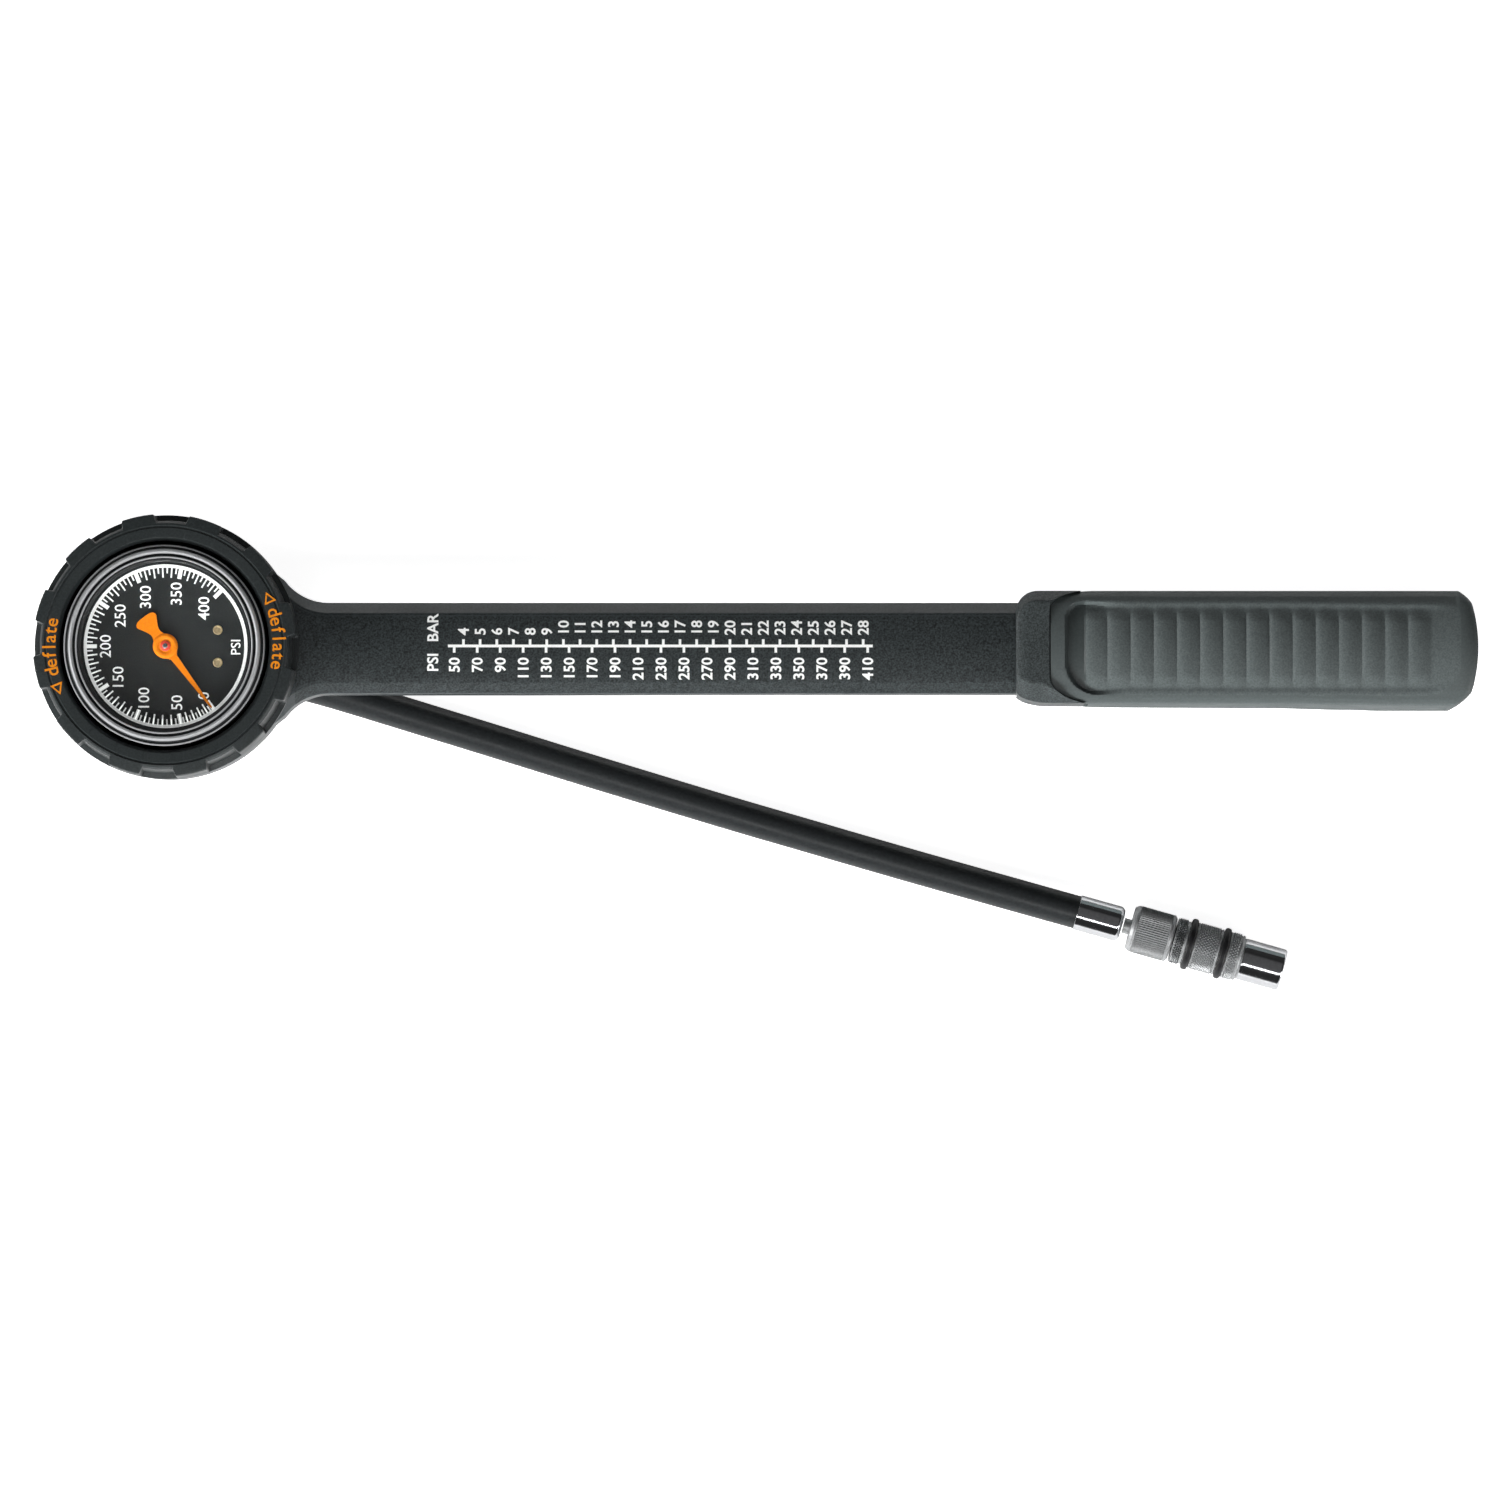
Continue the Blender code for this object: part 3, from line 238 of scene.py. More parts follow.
# grain is how much the colour speckles, size the speckle's width and bump its height, both in millimetres
finishValues = {
    "bodySmooth": dict(colour=(0.036, 0.043, 0.045), rough=(0.3, 0.4), grain=0.2, size=0.5, bump=0.006),
    # the grained face, and the chamfer on the -Y side, darker there as painted shade
    "bodyGrainedAndShaded": dict(colour=(0.022, 0.027, 0.028), rough=(0.42, 0.6), grain=0.8, size=0.42, bump=0.06),
    "ringSatin": dict(colour=(0.019, 0.023, 0.0235), rough=(0.34, 0.44), grain=0.3, size=0.4, bump=0.012),
    "collarGrained": dict(colour=(0.036, 0.043, 0.044), rough=(0.38, 0.5), grain=0.6, size=0.35, bump=0.04),
    "gripRubber": dict(colour=(0.078, 0.092, 0.092), rough=(0.55, 0.7), grain=0.2, size=0.4, bump=0.02),
    "gripRim": dict(colour=(0.066, 0.078, 0.078), rough=(0.45, 0.55), grain=0.1, size=0.5, bump=0.008),
    # the front of the scoop: a smoother rubber, darker as painted shade
    "gripPaintedShade": dict(colour=(0.044, 0.053, 0.053), rough=(0.4, 0.5), grain=0.1, size=0.5, bump=0.006),
    "dialBlack": dict(colour=(0.01, 0.012, 0.012), rough=(0.38, 0.5), grain=0.3, size=0.3, bump=0.006),
    "linerBlack": dict(colour=(0.012, 0.013, 0.014), rough=(0.5, 0.6), grain=0.1, size=0.5, bump=0),
    "printWhite": dict(colour=(0.86, 0.87, 0.86), rough=(0.45, 0.6), grain=0.08, size=0.3, bump=0.006),
    "printOrange": dict(colour=(0.66, 0.21, 0.012), rough=(0.4, 0.55), grain=0.1, size=0.3, bump=0.006,
                        shine=0.15),
    "pointerOrange": dict(colour=(0.6, 0.16, 0.004), rough=(0.36, 0.46), grain=0.08, size=0.5, bump=0.006,
                          shine=0.12),
    "redLacquer": dict(colour=(0.55, 0.05, 0.025), rough=(0.25, 0.35), grain=0.15, size=0.2, bump=0.004),
    "chrome": dict(colour=(0.8, 0.81, 0.83), rough=(0.06, 0.12), grain=0.05, size=0.8, bump=0.002, metal=1.0),
    "knurledSteel": dict(colour=(0.46, 0.47, 0.475), rough=(0.38, 0.48), grain=0.2, size=0.3, bump=0.01,
                         metal=0.7),
    "darkSteel": dict(colour=(0.28, 0.29, 0.295), rough=(0.36, 0.48), grain=0.3, size=0.3, bump=0.01,
                      metal=1.0),
    "springSteel": dict(colour=(0.46, 0.47, 0.49), rough=(0.22, 0.34), grain=0.15, size=0.4, bump=0.006,
                        metal=1.0),
    "aluminium": dict(colour=(0.7, 0.71, 0.73), rough=(0.26, 0.38), grain=0.12, size=0.4, bump=0.006,
                      metal=1.0),
    "brass": dict(colour=(0.78, 0.62, 0.36), rough=(0.36, 0.46), grain=0.15, size=0.4, bump=0.006, metal=1.0),
    "hoseRubber": dict(colour=(0.014, 0.016, 0.017), rough=(0.34, 0.44), grain=0.25, size=0.6, bump=0.012),
    "sealRubber": dict(colour=(0.008, 0.008, 0.009), rough=(0.38, 0.5), grain=0.2, size=0.5, bump=0.008),
    # light grey beads on the lens rim: painted highlights of the lens's edges
    "rimPaintedHighlight": dict(colour=(0.52, 0.53, 0.54), rough=(0.42, 0.48), grain=0.05, size=0.6, bump=0,
                      metal=0.55),
    # the dial's white print glows, painted light that keeps it bright in the shade of the lens rim
    "dialWhitePaintedLight": dict(colour=(0.86, 0.87, 0.86), rough=(0.45, 0.6), grain=0.05, size=0.3, bump=0, glow=0.3),
}


def setInputs(tree, node, inputs):
    for key, value in inputs.items():
        if isinstance(value, bpy.types.NodeSocket):
            tree.links.new(value, node.inputs[key])
        else:
            node.inputs[key].default_value = value


def addNode(tree, kind, inputs=None, out=0, **settings):
    node = tree.nodes.new(kind)
    for key, value in settings.items():
        setattr(node, key, value)
    setInputs(tree, node, inputs or {})
    return node.outputs[out]


def newMaterial(name):
    material = bpy.data.materials.new(name)
    material.use_nodes = True
    return material, material.node_tree, material.node_tree.nodes["Principled BSDF"]


def chooseByRay(tree, ray, other, chosen):
    # the chosen shader is used for one kind of ray
    path = addNode(tree, "ShaderNodeLightPath", out=ray)
    blend = addNode(tree, "ShaderNodeMixShader", {0: path, 1: other, 2: chosen})
    setInputs(tree, tree.nodes["Material Output"], {"Surface": blend})


# where the noise is cut, and how wide the patches of rougher surface are
noiseValues = dict(low=0.32, high=0.68, wearWidth=9.0)


def makeFinish(name, colour, rough, grain, size, bump, metal=0.0, glow=0.0, shine=0.5):
    material, tree, shader = newMaterial(name)
    place = addNode(tree, "ShaderNodeTexCoord", out="Object")
    v = noiseValues

    def noise(width, detail):
        return addNode(tree, "ShaderNodeTexNoise", {"Scale": 1 / (width * mm), "Detail": detail,
                                                    "Vector": place})

    def spread(source, low, high):
        return addNode(tree, "ShaderNodeMapRange", {"Value": source, "From Min": v["low"],
                                                    "From Max": v["high"], "To Min": low, "To Max": high})

    fine = noise(size, 2.0)
    dark = (*[c * (1 - grain) for c in colour], 1)
    light = (*[min(c * (1 + grain), 1) for c in colour], 1)
    tint = addNode(tree, "ShaderNodeMix", {0: spread(fine, 0, 1), 6: dark, 7: light}, 2, data_type="RGBA")
    # glow is painted light: the dial's print glows so that it stays bright in the shade of the lens rim
    setInputs(tree, shader, {
        "Base Color": tint, "Roughness": spread(noise(v["wearWidth"], 3.0), *rough), "Metallic": metal,
        "Specular IOR Level": shine, "Emission Color": (*colour, 1), "Emission Strength": glow})
    if bump:
        relief = addNode(tree, "ShaderNodeBump", {"Distance": bump * mm, "Height": fine})
        setInputs(tree, shader, {"Normal": relief})
    return material


finishes = {name: makeFinish(name, **values) for name, values in finishValues.items()}


def makeClearLens():
    material, tree, shader = newMaterial("clearLens")
    setInputs(tree, shader, {"Base Color": (0.97, 0.98, 0.98, 1), "Roughness": 0.0, "IOR": 1.42,
                             "Transmission Weight": 1.0})
    # light reaches the dial through the lens
    chooseByRay(tree, "Is Shadow Ray", shader.outputs[0], addNode(tree, "ShaderNodeBsdfTransparent"))
    return material


finishes["clearLens"] = makeClearLens()
print("finishes made")


cameraValues = dict(target=(137.7, -24.5, 35.0), distance=2300.0, tilt=2.09, fieldOfView=8.78)


def makeCamera():
    v = cameraValues
    camera = link(bpy.data.objects.new("camera", bpy.data.cameras.new("camera")))
    tilt = radians(v["tilt"])
    aim = Vector(v["target"]) * mm
    back = Vector((0, -sin(tilt), cos(tilt)))
    camera.location = aim + back * v["distance"] * mm
    camera.rotation_euler = (tilt, 0, 0)
    camera.data.angle = radians(v["fieldOfView"])
    camera.data.clip_start = 0.1
    camera.data.clip_end = 20
    scene.camera = camera


# place, aim and size in metres; a light with mirrored=False isn't seen in the metal
lightValues = {
    "frontBox": dict(place=(-0.35, -0.95, 0.50), aim=(0.14, -0.02, 0.02), size=(1.3, 0.3), power=29.0,
                     mirrored=False),
    "highStrip": dict(place=(0.15, -0.75, 1.30), aim=(0.14, -0.02, 0.02), size=(1.6, 0.16), power=4.5),
    "backStrip": dict(place=(0.12, 1.30, 0.11), aim=(0.14, 0.0, 0.02), size=(1.8, 0.16), power=2.5),
    "backFill": dict(place=(0.12, 1.60, 0.06), aim=(0.14, 0.0, 0.02), size=(2.0, 0.3), power=8.0,
                     mirrored=False),
    "leftBox": dict(place=(-3.00, -0.20, 1.10), aim=(0.12, -0.02, 0.02), size=(1.2, 1.2), power=40.0),
    "rightBox": dict(place=(1.60, -0.90, 0.50), aim=(0.12, -0.02, 0.02), size=(0.5, 0.5), power=8.0),
}


def makeLights():
    for name, v in lightValues.items():
        lamp = bpy.data.lights.new(name, "AREA")
        lamp.shape = "RECTANGLE"
        lamp.size, lamp.size_y = v["size"]
        lamp.energy = v["power"]
        obj = link(bpy.data.objects.new(name, lamp))
        obj.location = v["place"]
        obj.rotation_euler = (Vector(v["aim"]) - obj.location).to_track_quat("-Z", "Y").to_euler()
        obj.visible_glossy = v.get("mirrored", True)


# how bright the sky is: straight down at 0, the horizon at 0.5, overhead at 1
skyStops = [(0.0, 0.30), (0.50, 0.30), (0.53, 0.20), (0.58, 0.03), (0.88, 0.02), (0.93, 0.07), (1.0, 0.08)]


def makeWorld():
    world = bpy.data.worlds.new("studio")
    scene.world = world
    world.use_nodes = True
    tree = world.node_tree
    place = addNode(tree, "ShaderNodeTexCoord", out="Generated")
    height = addNode(tree, "ShaderNodeSeparateXYZ", {0: place}, "Z")
    level = addNode(tree, "ShaderNodeMapRange", {"Value": height, "From Min": -1})
    colour = addNode(tree, "ShaderNodeValToRGB", {0: level})
    ramp = colour.node.color_ramp
    while len(ramp.elements) < len(skyStops):
        ramp.elements.new(0.5)
    for element, (position, grey) in zip(ramp.elements, skyStops):
        element.position = position
        element.color = (grey, grey, grey * 1.01, 1)
    setInputs(tree, tree.nodes["Background"], {"Color": colour, "Strength": 1.0})


floorValues = dict(glow=0.90, reflected=0.80, side=2500, level=-0.05)


def makeFloor():
    # seen directly the paper is white, and in reflections it is grey, as a table far below would be
    v = floorValues
    paper, tree, shader = newMaterial("floorPaper")
    setInputs(tree, shader, {"Roughness": 0.9, "Base Color": (0.93, 0.93, 0.93, 1),
                             "Emission Color": (1, 1, 1, 1), "Emission Strength": v["glow"]})
    grey = addNode(tree, "ShaderNodeBsdfDiffuse", {"Color": (*[v["reflected"]] * 3, 1)})
    chooseByRay(tree, "Is Camera Ray", grey, shader.outputs[0])
    finishes["floorPaper"] = paper
    side, level = v["side"], v["level"]
    floor = meshObject("floor", [(-side, -side, level), (side, -side, level), (side, side, level),
                                 (-side, side, level)], [(0, 1, 2, 3)], ["floorPaper"], False)


scene.view_settings.view_transform = "Standard"
makeCamera()
makeLights()
makeWorld()
makeFloor()
print("camera, light and floor set")


def newTree(name, wholes, sizes):
    tree = bpy.data.node_groups.new(name, "GeometryNodeTree")
    keys = {}
    kinds = [(label, "Int") for label in wholes.split()] + [(label, "Float") for label in sizes.split()]
    for label, kind in kinds + [("Material", "Material")]:
        keys[label] = tree.interface.new_socket(label, in_out="INPUT",
                                                socket_type="NodeSocket" + kind).identifier
    tree.interface.new_socket("Geometry", in_out="OUTPUT", socket_type="NodeSocketGeometry")
    return tree, keys, tree.nodes.new("NodeGroupInput").outputs


def math(tree, operation, first, second=0.0, third=0.0):
    return addNode(tree, "ShaderNodeMath", {0: first, 1: second, 2: third}, operation=operation)


def vector(tree, x=0.0, y=0.0, z=0.0):
    return addNode(tree, "ShaderNodeCombineXYZ", {0: x, 1: y, 2: z})


def placeOnCircle(tree, angle, radius, level):
    return vector(tree, math(tree, "MULTIPLY", math(tree, "COSINE", angle), radius),
                  math(tree, "MULTIPLY", math(tree, "SINE", angle), radius), level)


def makeBar(tree, given):
    return addNode(tree, "GeometryNodeMeshCube",
                   {"Size": vector(tree, given["Length"], given["Width"], given["Height"])})


def endTree(tree, points, shape, turn, material):
    copies = addNode(tree, "GeometryNodeInstanceOnPoints", {"Points": points, "Instance": shape,
                                                            "Rotation": turn})
    solid = addNode(tree, "GeometryNodeRealizeInstances", {"Geometry": copies})
    painted = addNode(tree, "GeometryNodeSetMaterial", {"Geometry": solid, "Material": material})
    tree.links.new(painted, tree.nodes.new("NodeGroupOutput").inputs[0])


def makeRoundTree():
    # bars set round a circle: gauge ticks, and the ridges of a straight knurl when Roll is an eighth turn
    tree, keys, given = newTree("barsRoundCircle", "Count",
                                "Start Step Radius Length Width Height Level Roll")
    index = addNode(tree, "GeometryNodeInputIndex")
    angle = math(tree, "MULTIPLY_ADD", index, given["Step"], given["Start"])
    place = placeOnCircle(tree, angle, given["Radius"], given["Level"])
    points = addNode(tree, "GeometryNodePoints", {"Count": given["Count"], "Position": place})
    rolled = addNode(tree, "GeometryNodeTransform", {"Geometry": makeBar(tree, given),
                                                     "Rotation": vector(tree, z=given["Roll"])})
    endTree(tree, points, rolled, vector(tree, z=angle), given["Material"])
    return tree, keys


def makeRowTree():
    # bars set in a straight row along X
    tree, keys, given = newTree("barsInRow", "Count", "Start Step Side Level Length Width Height")
    index = addNode(tree, "GeometryNodeInputIndex")
    place = vector(tree, math(tree, "MULTIPLY_ADD", index, given["Step"], given["Start"]), given["Side"],
                   given["Level"])
    points = addNode(tree, "GeometryNodePoints", {"Count": given["Count"], "Position": place})
    endTree(tree, points, makeBar(tree, given), vector(tree), given["Material"])
    return tree, keys


def makeDiamondTree():
    # low four-sided points in staggered rows round Z: a diamond knurl
    tree, keys, given = newTree("diamondKnurl", "Around Rows", "Radius Low Pitch Foot Rise")
    index = addNode(tree, "GeometryNodeInputIndex")
    row = math(tree, "FLOOR", math(tree, "DIVIDE", math(tree, "ADD", index, 0.5), given["Around"]))
    column = math(tree, "SUBTRACT", index, math(tree, "MULTIPLY", row, given["Around"]))
    shifted = math(tree, "MULTIPLY_ADD", math(tree, "MODULO", row, 2.0), 0.5, column)
    angle = math(tree, "DIVIDE", math(tree, "MULTIPLY", shifted, 2 * pi), given["Around"])
    level = math(tree, "MULTIPLY_ADD", math(tree, "ADD", row, 0.5), given["Pitch"], given["Low"])
    place = placeOnCircle(tree, angle, given["Radius"], level)
    count = math(tree, "MULTIPLY", given["Around"], given["Rows"])
    points = addNode(tree, "GeometryNodePoints", {"Count": count, "Position": place})
    cone = addNode(tree, "GeometryNodeMeshCone", {"Vertices": 4, "Radius Top": 0.0,
                                                  "Radius Bottom": given["Foot"], "Depth": given["Rise"]})
    lying = addNode(tree, "GeometryNodeTransform", {"Geometry": cone, "Rotation": (0, pi / 2, 0)})
    endTree(tree, points, lying, vector(tree, z=angle), given["Material"])
    return tree, keys


roundTree = makeRoundTree()
rowTree = makeRowTree()
diamondTree = makeDiamondTree()


def growMesh(name, treeAndKeys, **values):
    # runs a tree on an empty object and keeps the plain mesh
    tree, keys = treeAndKeys
    host = link(bpy.data.objects.new(name, bpy.data.meshes.new(name)))
    step = host.modifiers.new("grow", "NODES")
    step.node_group = tree
    for label, value in values.items():
        step[keys[label]] = finishes[value] if label == "Material" else value
    mesh = evaluatedMesh(host)
    host.modifiers.clear()
    host.data = mesh
    return host


fontValues = dict(capShare=0.69, halfThick=0.02)      # capitals are this share of the font's size


def textMesh(words, height, align, bold):
    # a word with its baseline on Y = 0, and its tall letters as high as asked
    curve = bpy.data.curves.new(words, "FONT")
    curve.body = words
    curve.align_x = align
    curve.size = height / fontValues["capShare"] * mm
    curve.offset = bold * height * mm
    curve.extrude = fontValues["halfThick"] * mm
    curve.resolution_u = 3
    guide = link(bpy.data.objects.new("wordGuide", curve))
    mesh = evaluatedMesh(guide)
    bpy.data.objects.remove(guide)
    return mesh


def joinMeshes(name, meshes, material):
    work = bmesh.new()
    for mesh in meshes:
        work.from_mesh(mesh)
        bpy.data.meshes.remove(mesh)
    mesh = bpy.data.meshes.new(name)
    work.to_mesh(mesh)
    work.free()
    mesh.materials.clear()
    mesh.materials.append(finishes[material])
    for face in mesh.polygons:
        face.material_index = 0
    return link(bpy.data.objects.new(name, mesh))


def placedWord(words, height, x, y, z, turn, align="CENTER", drop=0.5, bold=0.03):
    # drop is how far below the place the baseline lies, as a share of the letter height
    mesh = textMesh(words, height, align, bold)
    mesh.transform(shift(x, y, z) @ Matrix.Rotation(turn, 4, "Z") @ shift(0, -drop * height))
    return mesh


# the hose's middle line, from under the head to the ferrule
hoseRoute = [(20.71, -4.97, 4.7), (27.0, -6.5, 4.6), (33.4, -8.15, 4.4), (42.0, -10.6, 4.2),
             (52.0, -13.65, 4.05), (63.7, -17.25, 4.0), (78.0, -21.65, 4.0), (92.3, -26.1, 4.0),
             (107.0, -30.6, 4.0), (121.0, -34.85, 4.0), (135.5, -39.2, 4.0), (149.6, -43.3, 4.0),
             (164.0, -47.5, 4.1), (178.2, -51.6, 4.5), (192.0, -55.5, 5.25), (205.0, -59.17, 6.0),
             (216.6, -62.42, 6.35)]
hoseValues = dict(radius=3.95, stepsPerStretch=6)
connectorValues = dict(start=(216.9, -62.5, 6.35), turn=-15.8)


def smoothRoute(route, share):
    # a smooth curve through every point of the route
    points = [Vector(p) for p in route]
    points = [2 * points[0] - points[1]] + points + [2 * points[-1] - points[-2]]
    result = []
    for before, a, b, after in zip(points, points[1:], points[2:], points[3:]):
        for k in range(share):
            t = k / share
            result.append(0.5 * (2 * a + (b - before) * t + (2 * before - 5 * a + 4 * b - after) * t * t
                                 + (3 * a - before - 3 * b + after) * t ** 3))
    return result + [points[-2]]


def makeHose():
    v = hoseValues
    route = smoothRoute(hoseRoute, v["stepsPerStretch"])
    curve = bpy.data.curves.new("hoseLine", "CURVE")
    curve.dimensions = "3D"
    curve.bevel_depth = v["radius"] * mm
    curve.bevel_resolution = 8
    curve.use_fill_caps = True
    spline = curve.splines.new("POLY")
    spline.points.add(len(route) - 1)
    for point, place in zip(spline.points, route):
        point.co = (*(place * mm), 1)
    curve.materials.append(finishes["hoseRubber"])
    hose = link(bpy.data.objects.new("hose_cover", curve))
    length = sum((b - a).length for a, b in zip(route, route[1:])) * mm
    return finished(hose, "hose_swivel", "hose_rubber", "hose"), length


def onConnector(obj):
    # a turned piece's own Z becomes the connector's axis
    turn = radians(connectorValues["turn"])
    ahead = Vector((cos(turn), sin(turn), 0))
    side = Vector((-sin(turn), cos(turn), 0))
    axes = Matrix((side, Vector((0, 0, 1)), ahead)).transposed().to_4x4()
    obj.data.transform(Matrix.Translation(Vector(connectorValues["start"]) * mm) @ axes)
    return obj


knobValues = dict(ridges=64, ridgeSize=0.36, radius=5.42, low=13.3, high=21.0)
sleeveValues = dict(foot=0.36, rise=0.42, around=48, pitch=0.50, polishedFrom=39.3)
sealValues = dict(levels=(26.5, 34.6), radius=5.65, halfWide=0.6, halfLong=0.8)


def makeConnector():
    chrome, steel, dark = "chrome", "knurledSteel", "darkSteel"
    made = []

    def add(obj, body, slotName, *replaced):
        made.append(finished(onConnector(obj), body, slotName, *replaced))

    add(lathe("front_ferrule", [
        (1.2, -0.15), (4.02, -0.15), (4.02, -1.3), (4.22, -1.3, 0.1), (4.22, 8.9, 0.3), (3.5, 9.8, 0.5),
        (1.2, 9.8)], [chrome], closed=True), "hose_swivel", "bright_chrome", "hose_front_ferrule")
    add(lathe("stem", [
        (0.8, 10.1), (1.85, 10.1), (1.85, 32.0), (3.0, 32.0, 0.2), (3.0, 34.0, 0.2), (0.8, 34.0)], [steel],
        steps=48, closed=True), "hose_swivel", "knurled_steel", "connector_stem")
    v = knobValues
    add(lathe("knob_body", [
        (2.15, 12.8), (3.4, 12.8), (4.2, 11.8, 0.3), (4.95, 11.8, 0.2), (5.55, 12.6, 0.2), (5.65, 13.1, 0.1),
        (5.4, 13.3), (5.4, 21.0), (5.68, 21.15, 0.1), (5.68, 21.6, 0.2), (5.0, 22.2, 0.2), (2.15, 22.2)],
        [steel], closed=True), "knob", "knurled_steel", "connector_knob")
    add(growMesh("knob_knurl", roundTree, Count=v["ridges"], Start=0.0, Step=2 * pi / v["ridges"],
                 Radius=v["radius"] * mm, Length=v["ridgeSize"] * mm, Width=v["ridgeSize"] * mm,
                 Height=(v["high"] - v["low"]) * mm, Level=(v["high"] + v["low"]) / 2 * mm, Roll=pi / 4,
                 Material=steel), "knob", "knurled_steel")
    sleeve = lathe("sleeve_body", [
        (4.1, 49.5), (4.6, 49.5, 0.1), (5.0, 49.1, 0.3), (5.0, 39.6, 0.3), (4.85, 39.1), (5.35, 38.9, 0.1),
        (5.6, 38.6, 0.1), (5.3, 38.4), (5.3, 36.0), (5.6, 35.8, 0.1), (5.5, 35.5, 0.1), (4.9, 35.5),
        (4.9, 33.7), (5.5, 33.6, 0.1), (5.6, 33.3, 0.1), (5.3, 33.1), (5.3, 27.9), (5.6, 27.7, 0.1),
        (5.5, 27.4, 0.1), (4.9, 27.4), (4.9, 25.6), (5.3, 25.5, 0.1), (5.15, 25.2), (5.15, 22.8),
        (5.35, 22.6, 0.1), (5.2, 22.5), (2.15, 22.5), (2.15, 31.0), (3.35, 31.0), (3.35, 38.5), (4.1, 38.5)],
        [chrome, steel], closed=True)
    for face in sleeve.data.polygons:
        if face.center.z < sleeveValues["polishedFrom"] * mm:
            face.material_index = 1      # plain steel behind the polished nose
    add(sleeve, "connector", "knurled_steel", "connector_sleeve")
    s = sleeveValues
    for name, low, high, radius, material in (("sleeve_knurl_middle", 27.95, 33.05, 5.36, steel),
                                              ("sleeve_knurl_front", 36.05, 38.35, 5.36, steel),
                                              ("sleeve_knurl_rear", 22.85, 25.15, 5.16, dark)):
        add(growMesh(name, diamondTree, Around=s["around"], Rows=int((high - low) / s["pitch"]),
                     Radius=radius * mm, Low=low * mm, Pitch=s["pitch"] * mm, Foot=s["foot"] * mm,
                     Rise=s["rise"] * mm, Material=material), "connector", "knurled_steel")
    o = sealValues
    for index, level in enumerate(o["levels"]):
        loop = [(o["radius"] + o["halfWide"] * x, level + o["halfLong"] * y) for x, y in ringPoints(1, 16)]
        add(lathe(f"o_ring_{index + 1}", loop, ["sealRubber"], closed=True),
            "connector", "seal_rubber", f"connector_ring_{index + 1}")
    return made


hose, hoseLength = makeHose()
connectorPieces = makeConnector()
print("hose and connector made, hose length", round(hoseLength, 4))


headValues = dict(radius=30.8, cup=24.3, floor=12.3, low=9.3, high=28.7, steps=160)
barrelValues = dict(half=10.8, low=9.5, high=27.0, neckHigh=28.5, end=288.0, upper=2.7, lower=4.5, bore=6.8,
                    crown=0.8, neckRadius=13.0, neckCentre=(38.0, 23.8), neckStart=27.6, faceStart=30.4)


def barrelSection(x):
    v = barrelValues
    centreX, centreY = v["neckCentre"]
    neckStart = v["neckStart"]
    half, top = v["half"], v["high"] - v["crown"]      # the face is slightly domed
    if x < centreX:
        reach = centreX - max(x, neckStart)
        half = centreY - sqrt(v["neckRadius"] ** 2 - reach ** 2) + max(neckStart - x, 0) * 0.8
        top += (v["neckHigh"] - v["high"]) * min((centreX - x) / 9.0, 1.0) ** 2
    low, up, down = v["low"], v["upper"], v["lower"]
    corners = [(-half + up, top), (-half, top - up), (-half, low + down), (-half + down, low),
               (half - down, low), (half, low + down), (half, top - up), (half - up, top)]
    rounded = roundCorners([(*c, 0.35) for c in corners], 3)
    dome = [(edge * (half - up), top + v["crown"] * (1 - edge * edge))
            for edge in (0.92, 0.75, 0.5, 0.25, 0, -0.25, -0.5, -0.75, -0.92)]
    return [(x, y, z) for y, z in rounded + dome]


def makeHousing():
    h, v = headValues, barrelValues
    smooth, grainedAndShaded = "bodySmooth", "bodyGrainedAndShaded"
    cup = lathe("head_cup", [
        (0, h["floor"]), (h["cup"], h["floor"]), (h["cup"], h["high"], 0.3), (h["radius"], h["high"], 0.5),
        (h["radius"], h["low"] + 2, 0.6), (h["radius"] - 2, h["low"], 0.6), (0, h["low"])], [smooth],
        steps=h["steps"])
    holes = [lathe("hole", [(0, 5), (4.9, 5), (4.9, 15), (0, 15)], [smooth], 48)]
    for k in range(3):
        hole = lathe("recess", [(0, 5), (2.7, 5), (2.7, 11), (0, 11)], [smooth], 32)      # a screw's recess
        turn = radians(60 + 120 * k)
        hole.data.transform(shift(19 * cos(turn), 19 * sin(turn)))
        holes.append(hole)
    cutAway(cup, *holes)
    finished(cup, "root", "body_plastic", "pump_housing")

    neckStart, neckEnd = v["neckStart"], v["neckCentre"][0]
    stations = [24.6, 25.6, 26.6, neckStart] + [neckStart + 10.4 * k / 24 for k in range(1, 25)]
    stations += [neckEnd + (v["end"] - neckEnd) * k / 24 for k in range(1, 25)]
    barrel = loft("barrel_shell", [barrelSection(x) for x in stations], [smooth, grainedAndShaded])
    bore = alongX(lathe("bore", [(0, 22), (v["bore"], 22), (v["bore"], 290), (0, 290)], [smooth], 64))
    cutAway(barrel, bore)
    # the face takes the grained finish; the chamfer facing -Y takes its darker colour too, as painted shade
    for face in barrel.data.polygons:
        grainAndShadeFace = (face.normal.z > 0.93 or face.normal.y < -0.3) and face.center.z > 24.2 * mm
        if grainAndShadeFace and face.center.x > v["faceStart"] * mm and abs(face.center.y) < 17 * mm:
            face.material_index = 1
    finished(barrel, "root", "body_plastic", "pump_housing")


scaleValues = dict(lineY=0.4, lineStart=66.3, lineEnd=166.7, lineWidth=0.65, first=67.8, perPsi=0.2714,
                   perBar=14.504, tick=1.4, tickWidth=0.62, digit=2.45, unit=2.5, unitX=62.7, level=27.0,
                   thick=0.03)


def settleOnBarrel(obj):
    # print follows the dome of the face
    b = barrelValues
    for vertex in obj.data.vertices:
        vertex.co.z -= b["crown"] * mm * (vertex.co.y / ((b["half"] - b["upper"]) * mm)) ** 2
    return obj


